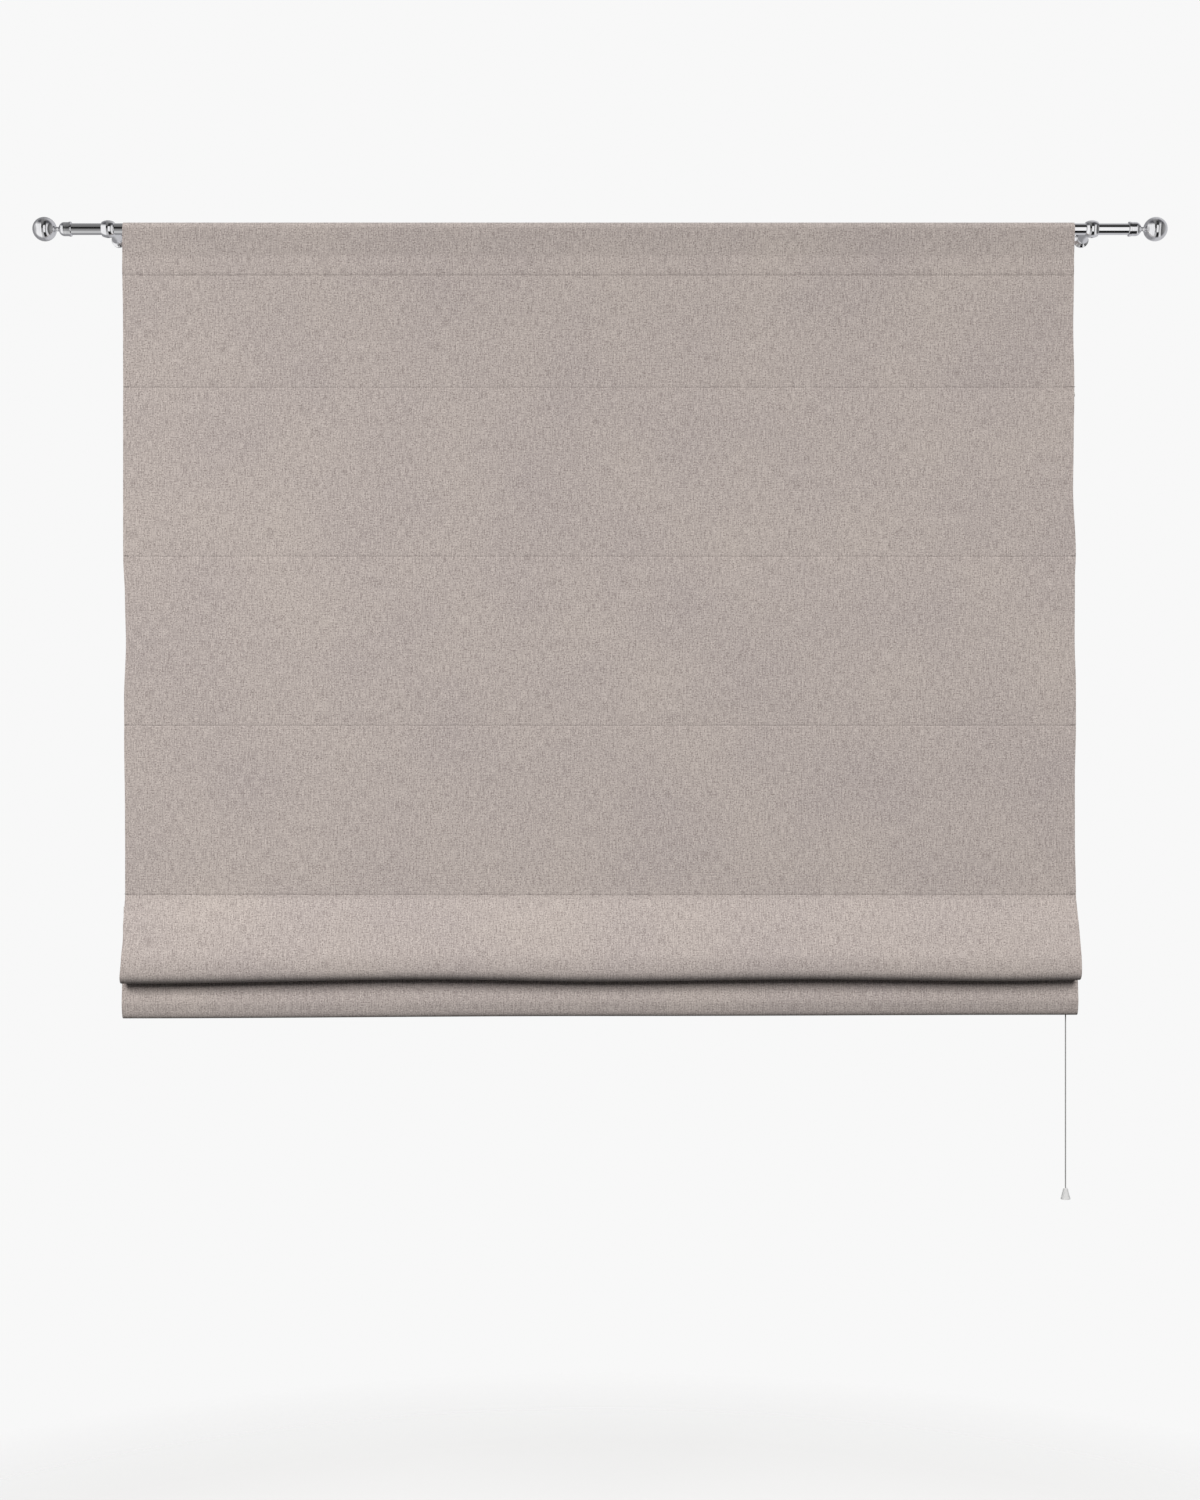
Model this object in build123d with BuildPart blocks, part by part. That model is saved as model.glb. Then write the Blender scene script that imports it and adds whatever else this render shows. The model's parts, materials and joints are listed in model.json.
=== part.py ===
"""A cord-operated roman blind that hangs on a chrome pole between two wall brackets.

The cloth hangs from the pole by a sewn pocket. Stiffening rods lie in tapes behind its seams, rings on the
tapes guide four lift cords, and the cords run along the header to a lock and down to a pull cord.
Frame: +X to the right as seen from the room, +Y towards the wall, +Z up, in millimetres. The origin lies on
the wall, level with the pole's axis and midway between the brackets.
"""

import os
from math import cos, radians, sin

from build123d import *

os.makedirs("parts", exist_ok=True)

# Overall
BLIND_WIDTH = 1600.0
EDGE_GAP = 0.2  # between two ends or edges that face each other

# Pole
POLE_RADIUS = 9.5
POLE_WALL = 1.2
POLE_OVERHANG = 100.0  # past the cloth at each end
POLE_Y = -80.0  # the projection of the brackets
SLIP = 0.05  # radial clearance of a sliding metal fit

# Finials
COLLAR_DEPTH = 12.0  # how far the pole goes into the collar
COLLAR_LENGTH = 20.4
COLLAR_RADIUS = 11.5
COLLAR_RIM_RADIUS = 12.25
COLLAR_RIM_WIDTH = 3.0
SHOULDER_BULGE = 1.2
NECK_RADIUS = 4.5
NECK_WAIST = 3.6
BALL_RADIUS = 20.0
BALL_CENTRE = 45.0  # from the collar's mouth

# Brackets
BRACKET_GAP = 26.0  # cloth's edge to bracket's centre
RING_WIDTH = 20.0
RING_RADIUS = 14.5
RING_END_RADIUS = 12.0
STEM_RADIUS = 6.0
BASE_RADIUS = 12.5
BASE_THICKNESS = 4.5
BARREL_RADIUS = 9.2
BASE_CHAMFER = 2.0
BARREL_END = 17.0
STEM_START = 26.0
STEM_FLARE = 0.9
WALL_GAP = 0.6
PLATE_RADIUS = 10.0
PLATE_THICKNESS = 3.0
PLATE_CLEARANCE = 0.3
HUB_RADIUS = 7.0
HUB_LENGTH = 10.0
WALL_SCREW_HOLE_RADIUS = 2.25
WALL_SCREW_HEAD_RADIUS = 4.5

# Grub screws
GRUB_RADIUS = 2.0
POLE_GRUB_LENGTH = 4.6
HUB_GRUB_LENGTH = 2.4
FINIAL_GRUB_LENGTH = 2.2
FINIAL_GRUB_DEPTH = 7.4  # from the collar's mouth
GRUB_CLEARANCE = 0.05
GRUB_SOCKET = 1.9  # across the flats

# Cloth
CLOTH = 1.0
POLE_TO_CLOTH = 0.3
POCKET_DEPTH = 78.0  # pole axis to the pocket's seam
POCKET_SHOULDER = 2.0  # above the lath
POCKET_WAIST = 1.0  # below the lath
ROD_PITCH = 284.0
FIRST_SECTION = 188.0
RODS_ABOVE_FOLD = 4
FOLD_DEPTH = 141.5
FOLD_BULGE = 40.0
FOLD_START = 5.0  # below the fourth seam
FOLD_FULL = 94.0
FOLD_RADIUS = 7.0
FOLD_START_RADIUS = 18.0
FOLD_FACE_RADIUS = 45.0
FOLD_TURN_SLACK = 0.4
FOLD_TUCK_DROP = 23.5  # fourth seam to fifth seam while the blind is drawn up
CREASE_RADIUS = 0.95
CREASE_SLACK = 0.3
HEM_FORWARD = 4.0
HEM_HEIGHT = 60.0
HEM_BEND_RADIUS = 60.0
HEM_BACK_RADIUS = 8.0
HEM_ROOM = 2.0  # above the weight bar
HEM_TURN_SLACK = 0.1
HEM_EDGE_DROP = 3.0  # the inner edge below the hem's top
HEM_DROP = 203.5  # fourth seam to the hem's edge while the blind is drawn up

# Header lath
LATH_THICKNESS = 5.0
LATH_HEIGHT = 25.0
LATH_INSET = 5.0
LATH_CLEARANCE = 0.3
LATH_ABOVE_SEAM = 5.0
LATH_EDGE_RADIUS = 0.8

# Stiffening rods and their tapes
ROD_RADIUS = 2.5
ROD_INSET = 5.0
ROD_CLEARANCE = 0.3
TAPE = 0.6
TAPE_INSET = 3.0
TAPE_FLANGE = 4.0  # above the seam
TAPE_DROP = 11.0  # seam to rod axis
TAPE_GAP = 0.05
ROD_CAP_HEAD = 1.2

# Weight bar
BAR_THICKNESS = 3.0
BAR_HEIGHT = 25.0
BAR_INSET = 8.0
BAR_CLEARANCE = 0.3
BAR_ABOVE_HEM = 3.5
BAR_EDGE_RADIUS = 0.6
BAR_CAP_WALL = 0.25
BAR_CAP_DEPTH = 10.0
BAR_CAP_HEAD = 1.5
BAR_CAP_CORNER = 0.8

# Rings and cords
CORDS = 4
CORD_INSET = 80.0  # cloth's edge to the nearest lift cord
RING_WIRE = 0.8
RING_MAJOR = 5.1
RING_GAP = 0.1
CORD_RADIUS = 0.6
CORD_PITCH = 1.6
CORD_TURN = 7.0
ORB_RADIUS = 5.0
ORB_LENGTH = 12.0
ORB_GAP = 0.1
ORB_GRIP = 9.0
ORB_CHAMFER = 0.5
ORB_STRAIGHT = 5.0
ORB_BELLY = 9.2
ORB_BELLY_RADIUS = 4.0
ORB_TIP_RADIUS = 1.5

# Screw eyes
EYE_MAJOR = 5.0
EYE_WIRE = 0.9
EYE_SHANK_DEPTH = 4.0
SCREW_CLOTH_CLEARANCE = 0.3  # around a screw in its hole in the cloth
SCREW_CLEARANCE = 0.05  # around a screw in the lath or the lock

# Cord lock
PULL_INSET = 15.0  # cloth's edge to the pull cord
LOCK_WALL = 1.6
LOCK_INNER_HALF = 5.4
LOCK_SIDE_GAP = 1.0
LOCK_CORNER_RADIUS = 1.0
LOCK_RISE = 11.5  # above the cords that come along the header
LOCK_DROP = 40.5  # below them
PULLEY_RADIUS = 6.0
PULLEY_RIM_HEIGHT = 1.0
PULLEY_RIM = 0.8
PULLEY_SIDE_GAP = 0.4
PIN_RADIUS = 1.5
PIN_HEAD_RADIUS = 2.4
PIN_HEAD = 0.8
PIN_CLEARANCE = 0.05  # in the lock's walls
ROLLER_RADIUS = 3.6
ROLLER_JOURNAL = 1.5
ROLLER_DROP = 15.0  # pulley axis to roller axis
ROLLER_TRAVEL = 5.0
SLOT_ANGLE = 30.0  # from the vertical
SLOT_CLEARANCE = 0.15
CORD_GAP = 0.15
LOCK_EAR = 15.0
LOCK_RIGHT_EAR = 10.0
LOCK_EAR_HEIGHT = 22.0
LOCK_SCREW_RADIUS = 1.4
LOCK_SCREW_HEAD_RADIUS = 2.6
LOCK_SCREW_HEAD = 1.6
LOCK_SCREW_DEPTH = 4.0
LOCK_SCREW_INSET = 4.0  # below the lock's top
LOCK_SCREW_TAPER = 18.0
LOCK_SCREW_CROSS = 2.6
LOCK_SCREW_CROSS_WIDTH = 0.6

# Cord joiner, pull cord and tassel
JOINER_TOP = -400.0
JOINER_RADIUS = 5.2
JOINER_CAP_LENGTH = 18.0
JOINER_PLUG_LENGTH = 17.0
JOINER_BORE_RADIUS = 3.5
JOINER_BORE_DEPTH = 10.0
SPIGOT_RADIUS = 3.4
SPIGOT_LENGTH = 5.0
JOINER_TIP_RADIUS = 2.4
JOINER_EDGE_RADIUS = 1.2
JOINER_STRAIGHT = 6.8  # of the plug
JOINER_BELLY = 12.75
JOINER_BELLY_RADIUS = 4.5
JOINER_GRIP = 10.2  # how far the pull cord goes in
PULL_CORD_RADIUS = 1.0
TASSEL_TOP = -1613.5
TASSEL_HEIGHT = 18.5
TASSEL_TOP_RADIUS = 3.75
TASSEL_BOTTOM_RADIUS = 8.0
TASSEL_WALL = 1.2
TASSEL_ROOF = 4.0
TASSEL_ROOF_STEP = 0.4
TASSEL_LIP = 1.2
TASSEL_BELLY = 10.2
TASSEL_BELLY_RADIUS = 5.45
TASSEL_EDGE = 0.6
KNOT_RADIUS = 2.2
CORD_BORE_CLEARANCE = 0.1

# Places that follow from the sizes
POLE_LENGTH = BLIND_WIDTH + 2 * POLE_OVERHANG
BRACKET_X = BLIND_WIDTH / 2 + BRACKET_GAP
LATH_LENGTH = BLIND_WIDTH - 2 * LATH_INSET
ROD_LENGTH = BLIND_WIDTH - 2 * ROD_INSET
TAPE_LENGTH = BLIND_WIDTH - 2 * TAPE_INSET
BAR_LENGTH = BLIND_WIDTH - 2 * BAR_INSET
CORD_SPREAD = (BLIND_WIDTH - 2 * CORD_INSET) / (CORDS - 1)
RING_COLUMNS = [CORD_INSET - BLIND_WIDTH / 2 + n * CORD_SPREAD for n in range(CORDS)]
PULL_X = BLIND_WIDTH / 2 - PULL_INSET
SEAM_Z = -POCKET_DEPTH
ROD_SEAMS = [SEAM_Z - FIRST_SECTION - n * ROD_PITCH for n in range(RODS_ABOVE_FOLD)]
FOLD_TOP = ROD_SEAMS[-1]
ROD_SEAMS.append(FOLD_TOP - FOLD_TUCK_DROP)
HEM_BOTTOM = FOLD_TOP - HEM_DROP
CLOTH_BACK = POLE_Y + CLOTH / 2
TAPE_FRONT = CLOTH_BACK + TAPE_GAP
LOOP_RADIUS = ROD_RADIUS + ROD_CLEARANCE + TAPE
ROD_Y = TAPE_FRONT + LOOP_RADIUS
CORD_Y = ROD_Y + LOOP_RADIUS + RING_GAP + RING_MAJOR + RING_WIRE
CORD_YS = [CORD_Y + CORD_PITCH * (n - (CORDS - 1) / 2) for n in range(CORDS)]
LATH_BOTTOM = SEAM_Z + LATH_ABOVE_SEAM
HEADER_CORD_Z = LATH_BOTTOM + LATH_HEIGHT / 2
POCKET_HALF = LATH_THICKNESS / 2 + LATH_CLEARANCE
TIP_HALF = 0.2  # half the slit that is left inside the pocket's seam
HEADER_BACK = POLE_Y + POCKET_HALF + CLOTH
LOCK_TOP = HEADER_CORD_Z + LOCK_RISE
LOCK_BOTTOM = HEADER_CORD_Z - LOCK_DROP
FINIAL_MOUTH = POLE_LENGTH / 2 - COLLAR_DEPTH
FINIAL_GRUB_X = FINIAL_MOUTH + FINIAL_GRUB_DEPTH
HUB_MIDDLE_Y = -PLATE_THICKNESS - HUB_LENGTH / 2
PULLEY_RIM_RADIUS = PULLEY_RADIUS + PULLEY_RIM_HEIGHT
PULLEY_X = PULL_X - PULLEY_RADIUS - CORD_RADIUS
PULLEY_Z = HEADER_CORD_Z - PULLEY_RADIUS - CORD_RADIUS
ANVIL_X = PULL_X + CORD_RADIUS + CORD_GAP
LOCK_LEFT = PULLEY_X - PULLEY_RIM_RADIUS - LOCK_SIDE_GAP
ROLLER_X = PULL_X - CORD_RADIUS - CORD_GAP - ROLLER_RADIUS
ROLLER_Z = PULLEY_Z - ROLLER_DROP
TASSEL_BOTTOM = TASSEL_TOP - TASSEL_HEIGHT
JOINER_BOTTOM = JOINER_TOP - JOINER_CAP_LENGTH - JOINER_PLUG_LENGTH


def save(part, name):
    """Labels a finished piece and writes it as its own STEP file."""
    part.label = name
    export_step(part, f"parts/{name}.step")


def along_x(start):
    """The plane across the blind at x = start, with its own x along +Y and its own y along +Z."""
    return Plane(origin=(start, 0, 0), x_dir=(0, 1, 0), z_dir=(1, 0, 0))


def facing_up(x, y, z):
    """The level plane through a point."""
    return Plane(origin=(x, y, z), x_dir=(1, 0, 0), z_dir=(0, 0, 1))


def facing_back(x, y, z):
    """The upright plane through a point that looks at the wall, with its own y along +Z."""
    return Plane(origin=(x, y, z), x_dir=(-1, 0, 0), z_dir=(0, 1, 0))


def facing_front(x, y, z):
    """The upright plane through a point that looks into the room, with its own y along +Z."""
    return Plane(origin=(x, y, z), x_dir=(1, 0, 0), z_dir=(0, -1, 0))


def radial_section(side, x):
    """The half-section plane of a piece that is turned about the pole's axis, measured outwards from x."""
    return Plane(origin=(x, POLE_Y, 0), x_dir=(side, 0, 0), z_dir=(0, 0, 1))


# ---------------------------------------------------------------- pole, finials and brackets

with BuildPart() as pole:
    with BuildSketch(along_x(-POLE_LENGTH / 2)):
        with Locations((POLE_Y, 0)):
            Circle(POLE_RADIUS)
            Circle(POLE_RADIUS - POLE_WALL, mode=Mode.SUBTRACT)
    extrude(amount=POLE_LENGTH)
save(pole.part, "pole")


def make_finial(side):
    """A turned ball on a waisted neck, with a collar that goes over the pole's end."""
    bore = POLE_RADIUS + SLIP
    neck_end = BALL_CENTRE - (BALL_RADIUS**2 - NECK_RADIUS**2) ** 0.5
    with BuildPart() as finial:
        with BuildSketch(radial_section(side, side * FINIAL_MOUTH)):
            with BuildLine():
                Polyline(
                    (COLLAR_DEPTH, 0),
                    (COLLAR_DEPTH, bore),
                    (0, bore),
                    (0, COLLAR_RIM_RADIUS),
                    (COLLAR_RIM_WIDTH, COLLAR_RIM_RADIUS),
                    (COLLAR_RIM_WIDTH, COLLAR_RADIUS),
                    (COLLAR_DEPTH, COLLAR_RADIUS),
                )
                ThreePointArc(
                    (COLLAR_DEPTH, COLLAR_RADIUS),
                    (
                        (COLLAR_DEPTH + COLLAR_LENGTH) / 2 + SHOULDER_BULGE,
                        (COLLAR_RADIUS + NECK_RADIUS) / 2 + SHOULDER_BULGE,
                    ),
                    (COLLAR_LENGTH, NECK_RADIUS),
                )
                ThreePointArc(
                    (COLLAR_LENGTH, NECK_RADIUS),
                    ((COLLAR_LENGTH + neck_end) / 2, NECK_WAIST),
                    (neck_end, NECK_RADIUS),
                )
                ThreePointArc(
                    (neck_end, NECK_RADIUS),
                    (BALL_CENTRE, BALL_RADIUS),
                    (BALL_CENTRE + BALL_RADIUS, 0),
                )
                Line((BALL_CENTRE + BALL_RADIUS, 0), (COLLAR_DEPTH, 0))
            make_face()
        revolve(axis=Axis((0, POLE_Y, 0), (side, 0, 0)))
        with BuildSketch(facing_back(side * FINIAL_GRUB_X, POLE_Y, 0)):
            Circle(GRUB_RADIUS + GRUB_CLEARANCE)
        extrude(amount=COLLAR_RIM_RADIUS, mode=Mode.SUBTRACT)
    return finial.part


def make_bracket(side):
    """A bulged ring round the pole, on a stem whose flared base covers the wall plate."""
    x = side * BRACKET_X
    with BuildPart() as bracket:
        with BuildSketch(Plane(origin=(x, 0, 0), x_dir=(1, 0, 0), z_dir=(0, 0, 1))):
            with BuildLine():
                Polyline(
                    (0, -WALL_GAP),
                    (BASE_RADIUS, -WALL_GAP),
                    (BASE_RADIUS, -BASE_THICKNESS),
                    (BARREL_RADIUS, -BASE_THICKNESS - BASE_CHAMFER),
                    (BARREL_RADIUS, -BARREL_END),
                )
                ThreePointArc(
                    (BARREL_RADIUS, -BARREL_END),
                    (STEM_RADIUS + STEM_FLARE, -(BARREL_END + STEM_START) / 2),
                    (STEM_RADIUS, -STEM_START),
                )
                Polyline(
                    (STEM_RADIUS, -STEM_START),
                    (STEM_RADIUS, POLE_Y + POLE_RADIUS),
                    (0, POLE_Y + POLE_RADIUS),
                )
                Line((0, POLE_Y + POLE_RADIUS), (0, -WALL_GAP))
            make_face()
        revolve(axis=Axis((x, 0, 0), (0, 1, 0)))
        with BuildSketch(radial_section(1, x)):
            with BuildLine():
                ThreePointArc(
                    (-RING_WIDTH / 2, RING_END_RADIUS),
                    (0, RING_RADIUS),
                    (RING_WIDTH / 2, RING_END_RADIUS),
                )
                Polyline(
                    (RING_WIDTH / 2, RING_END_RADIUS),
                    (RING_WIDTH / 2, 0),
                    (-RING_WIDTH / 2, 0),
                    (-RING_WIDTH / 2, RING_END_RADIUS),
                )
            make_face()
        revolve(axis=Axis((0, POLE_Y, 0), (1, 0, 0)))
        with BuildSketch(along_x(x - RING_WIDTH)):
            with Locations((POLE_Y, 0)):
                Circle(POLE_RADIUS + SLIP)
        extrude(amount=2 * RING_WIDTH, mode=Mode.SUBTRACT)
        with BuildSketch(facing_back(x, -PLATE_THICKNESS - EDGE_GAP, 0)):
            Circle(PLATE_RADIUS + PLATE_CLEARANCE)
        extrude(amount=PLATE_THICKNESS + EDGE_GAP, mode=Mode.SUBTRACT)
        with BuildSketch(facing_back(x, -PLATE_THICKNESS - HUB_LENGTH - WALL_GAP, 0)):
            Circle(HUB_RADIUS + SLIP)
        extrude(amount=HUB_LENGTH + PLATE_THICKNESS, mode=Mode.SUBTRACT)
        with BuildSketch(facing_up(x, POLE_Y, 0), facing_up(x, HUB_MIDDLE_Y, 0)):
            Circle(GRUB_RADIUS + GRUB_CLEARANCE)
        extrude(amount=-RING_RADIUS, mode=Mode.SUBTRACT)
    return bracket.part


def make_wall_plate(side):
    """The disc and hub that one countersunk screw holds to the wall."""
    x = side * BRACKET_X
    front = -PLATE_THICKNESS - HUB_LENGTH
    with BuildPart() as plate:
        with BuildSketch(facing_back(x, -PLATE_THICKNESS, 0)):
            Circle(PLATE_RADIUS)
        extrude(amount=PLATE_THICKNESS)
        with BuildSketch(facing_back(x, front, 0)):
            Circle(HUB_RADIUS)
        extrude(amount=HUB_LENGTH)
        with Locations(facing_front(x, front, 0)):
            CounterSinkHole(radius=WALL_SCREW_HOLE_RADIUS, counter_sink_radius=WALL_SCREW_HEAD_RADIUS)
    return plate.part


def make_grub_screws(places):
    """Headless screws, each given by the plane of its tip, which looks at the shaft, and by its length."""
    with BuildPart() as screws:
        for tip, length in places:
            with BuildSketch(tip):
                Circle(GRUB_RADIUS)
            extrude(amount=-length)
            with BuildSketch(tip.offset(-length)):
                RegularPolygon(GRUB_SOCKET / 2, 6, major_radius=False)
            extrude(amount=length / 2, mode=Mode.SUBTRACT)
    return screws.part


for side, word in ((-1, "left"), (1, "right")):
    save(make_finial(side), f"finial_{word}")
    save(make_bracket(side), f"bracket_{word}")
    save(make_wall_plate(side), f"wall_plate_{word}")

POLE_GRUB_REACH = POLE_RADIUS + GRUB_CLEARANCE
HUB_GRUB_REACH = HUB_RADIUS + GRUB_CLEARANCE
bracket_screws = []
collar_screws = []
for side in (-1, 1):
    collar_tip = facing_front(side * FINIAL_GRUB_X, POLE_Y + POLE_GRUB_REACH, 0)
    bracket_screws.append((facing_up(side * BRACKET_X, POLE_Y, -POLE_GRUB_REACH), POLE_GRUB_LENGTH))
    bracket_screws.append((facing_up(side * BRACKET_X, HUB_MIDDLE_Y, -HUB_GRUB_REACH), HUB_GRUB_LENGTH))
    collar_screws.append((collar_tip, FINIAL_GRUB_LENGTH))
save(make_grub_screws(bracket_screws), "bracket_grub_screws")
save(make_grub_screws(collar_screws), "finial_grub_screws")

# ---------------------------------------------------------------- header: pocket, lath and screw eyes


def pocket_outline(gap):
    """The pocket's section, for a surface that lies gap outside its inner face."""
    top = POLE_RADIUS + POLE_TO_CLOTH + gap
    side = POCKET_HALF + gap
    shoulder = LATH_BOTTOM + LATH_HEIGHT + POCKET_SHOULDER
    waist = LATH_BOTTOM - POCKET_WAIST - gap / 2
    tip = SEAM_Z + CLOTH - gap
    with BuildLine() as outline:
        ThreePointArc((POLE_Y - top, 0), (POLE_Y, top), (POLE_Y + top, 0))
        Polyline(
            (POLE_Y + top, 0),
            (POLE_Y + side, shoulder),
            (POLE_Y + side, waist),
            (POLE_Y + TIP_HALF + gap / 2, tip),
            (POLE_Y - TIP_HALF - gap / 2, tip),
            (POLE_Y - side, waist),
            (POLE_Y - side, shoulder),
            (POLE_Y - top, 0),
        )
    return outline.line


LOCK_SCREWS = (
    (LOCK_LEFT - LOCK_EAR / 2, LOCK_TOP - LOCK_SCREW_INSET),
    (ANVIL_X + LOCK_WALL + LOCK_RIGHT_EAR / 2, HEADER_CORD_Z),
)
EYE_PLACES = [(x + CORD_TURN, HEADER_CORD_Z) for x in RING_COLUMNS]

with BuildPart() as fabric_header:
    with BuildSketch(along_x(-BLIND_WIDTH / 2)):
        make_face(pocket_outline(CLOTH).edges())
    extrude(amount=BLIND_WIDTH)
    with BuildSketch(along_x(-BLIND_WIDTH / 2)):
        make_face(pocket_outline(0).edges())
    extrude(amount=BLIND_WIDTH, mode=Mode.SUBTRACT)
    with BuildSketch(facing_back(0, POLE_Y, 0)):
        for x, z in EYE_PLACES:
            with Locations((-x, z)):
                Circle(EYE_WIRE + SCREW_CLOTH_CLEARANCE)
        for x, z in LOCK_SCREWS:
            with Locations((-x, z)):
                Circle(LOCK_SCREW_RADIUS + SCREW_CLOTH_CLEARANCE)
    extrude(amount=POLE_RADIUS * 2, mode=Mode.SUBTRACT)
save(fabric_header.part, "fabric_header")

with BuildPart() as header_lath:
    with BuildSketch(facing_back(0, POLE_Y - LATH_THICKNESS / 2, HEADER_CORD_Z)):
        Rectangle(LATH_LENGTH, LATH_HEIGHT)
    extrude(amount=LATH_THICKNESS)
    fillet(header_lath.edges().filter_by(Axis.X), radius=LATH_EDGE_RADIUS)
    with BuildSketch(facing_back(0, POLE_Y + LATH_THICKNESS / 2, 0)):
        for x, z in EYE_PLACES:
            with Locations((-x, z)):
                Circle(EYE_WIRE + SCREW_CLEARANCE)
        for x, z in LOCK_SCREWS:
            with Locations((-x, z)):
                Circle(LOCK_SCREW_RADIUS + SCREW_CLEARANCE)
    extrude(amount=-LOCK_SCREW_DEPTH - SCREW_CLEARANCE, mode=Mode.SUBTRACT)
save(header_lath.part, "header_lath")

with BuildPart() as screw_eyes:
    for x, z in EYE_PLACES:
        with BuildSketch(Plane(origin=(x, CORD_Y, z), x_dir=(0, 1, 0), z_dir=(0, 0, 1))):
            with Locations((EYE_MAJOR, 0)):
                Circle(EYE_WIRE)
        revolve(axis=Axis((x, CORD_Y, z), (1, 0, 0)))
        shank_end = POLE_Y + LATH_THICKNESS / 2 - EYE_SHANK_DEPTH
        with BuildSketch(facing_back(x, shank_end, z)):
            Circle(EYE_WIRE)
        extrude(amount=CORD_Y - EYE_MAJOR - shank_end)
save(screw_eyes.part, "screw_eyes")

# ---------------------------------------------------------------- cloth below the header

with BuildPart() as fabric_panel:
    with BuildSketch(facing_back(0, POLE_Y - CLOTH / 2, (SEAM_Z + FOLD_TOP) / 2)):
        Rectangle(BLIND_WIDTH, SEAM_Z - FOLD_TOP - 2 * EDGE_GAP)
    extrude(amount=CLOTH)
save(fabric_panel.part, "fabric_panel")

FOLD_FRONT = POLE_Y - FOLD_BULGE
FOLD_BOTTOM = FOLD_TOP - FOLD_DEPTH + CLOTH / 2
CREASE_Z = ROD_SEAMS[-1] + TAPE_FLANGE
HEM_FRONT = POLE_Y - HEM_FORWARD
HEM_BACK = HEM_FRONT + CLOTH + BAR_THICKNESS + 2 * BAR_CLEARANCE
HEM_TURN = (HEM_BACK - HEM_FRONT) / 2

with BuildPart() as fabric_fold:
    with BuildSketch(along_x(-BLIND_WIDTH / 2)):
        with BuildLine() as fold_path:
            FilletPolyline(
                (POLE_Y, FOLD_TOP - EDGE_GAP),
                (POLE_Y, FOLD_TOP - FOLD_START),
                (FOLD_FRONT, FOLD_TOP - FOLD_FULL),
                (FOLD_FRONT, FOLD_BOTTOM),
                (FOLD_FRONT + 2 * FOLD_RADIUS + FOLD_TURN_SLACK, FOLD_BOTTOM),
                (POLE_Y - 2 * CREASE_RADIUS - CREASE_SLACK, CREASE_Z),
                (POLE_Y, CREASE_Z),
                (HEM_FRONT, HEM_BOTTOM + HEM_HEIGHT),
                (HEM_FRONT, HEM_BOTTOM + CLOTH / 2),
                (HEM_BACK, HEM_BOTTOM + CLOTH / 2),
                (HEM_BACK, HEM_BOTTOM + BAR_ABOVE_HEM + BAR_HEIGHT + HEM_ROOM),
                (HEM_FRONT + CLOTH, HEM_BOTTOM + HEM_HEIGHT - HEM_EDGE_DROP),
                radius=[
                    FOLD_START_RADIUS,
                    FOLD_FACE_RADIUS,
                    FOLD_RADIUS,
                    FOLD_RADIUS,
                    CREASE_RADIUS,
                    CREASE_RADIUS,
                    HEM_BEND_RADIUS,
                    HEM_TURN - HEM_TURN_SLACK,
                    HEM_TURN - HEM_TURN_SLACK,
                    HEM_BACK_RADIUS,
                ],
            )
        trace(line_width=CLOTH)
    extrude(amount=BLIND_WIDTH)
save(fabric_fold.part, "fabric_fold")

with BuildPart() as weight_bar:
    bar_y = (HEM_FRONT + HEM_BACK) / 2
    bar_z = HEM_BOTTOM + BAR_ABOVE_HEM + BAR_HEIGHT / 2
    with BuildSketch(along_x(-BAR_LENGTH / 2)):
        with Locations((bar_y, bar_z)):
            Rectangle(BAR_THICKNESS, BAR_HEIGHT)
    extrude(amount=BAR_LENGTH)
    fillet(weight_bar.edges().filter_by(Axis.X), radius=BAR_EDGE_RADIUS)
save(weight_bar.part, "weight_bar")

with BuildPart() as weight_bar_caps:
    for side in (-1, 1):
        end = side * (BAR_LENGTH / 2 + BAR_CAP_HEAD)
        with BuildSketch(Plane(origin=(end, 0, 0), x_dir=(0, 1, 0), z_dir=(1, 0, 0))):
            with Locations((bar_y, bar_z)):
                RectangleRounded(
                    BAR_THICKNESS + 2 * BAR_CAP_WALL,
                    BAR_HEIGHT + 2 * BAR_CAP_WALL,
                    BAR_CAP_CORNER,
                )
        extrude(amount=-side * (BAR_CAP_HEAD + BAR_CAP_DEPTH))
        with BuildSketch(Plane(origin=(side * BAR_LENGTH / 2, 0, 0), x_dir=(0, 1, 0), z_dir=(1, 0, 0))):
            with Locations((bar_y, bar_z)):
                Rectangle(BAR_THICKNESS, BAR_HEIGHT)
        extrude(amount=-side * BAR_CAP_DEPTH, mode=Mode.SUBTRACT)
save(weight_bar_caps.part, "weight_bar_caps")

# ---------------------------------------------------------------- rods, tapes, caps and rings

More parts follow.
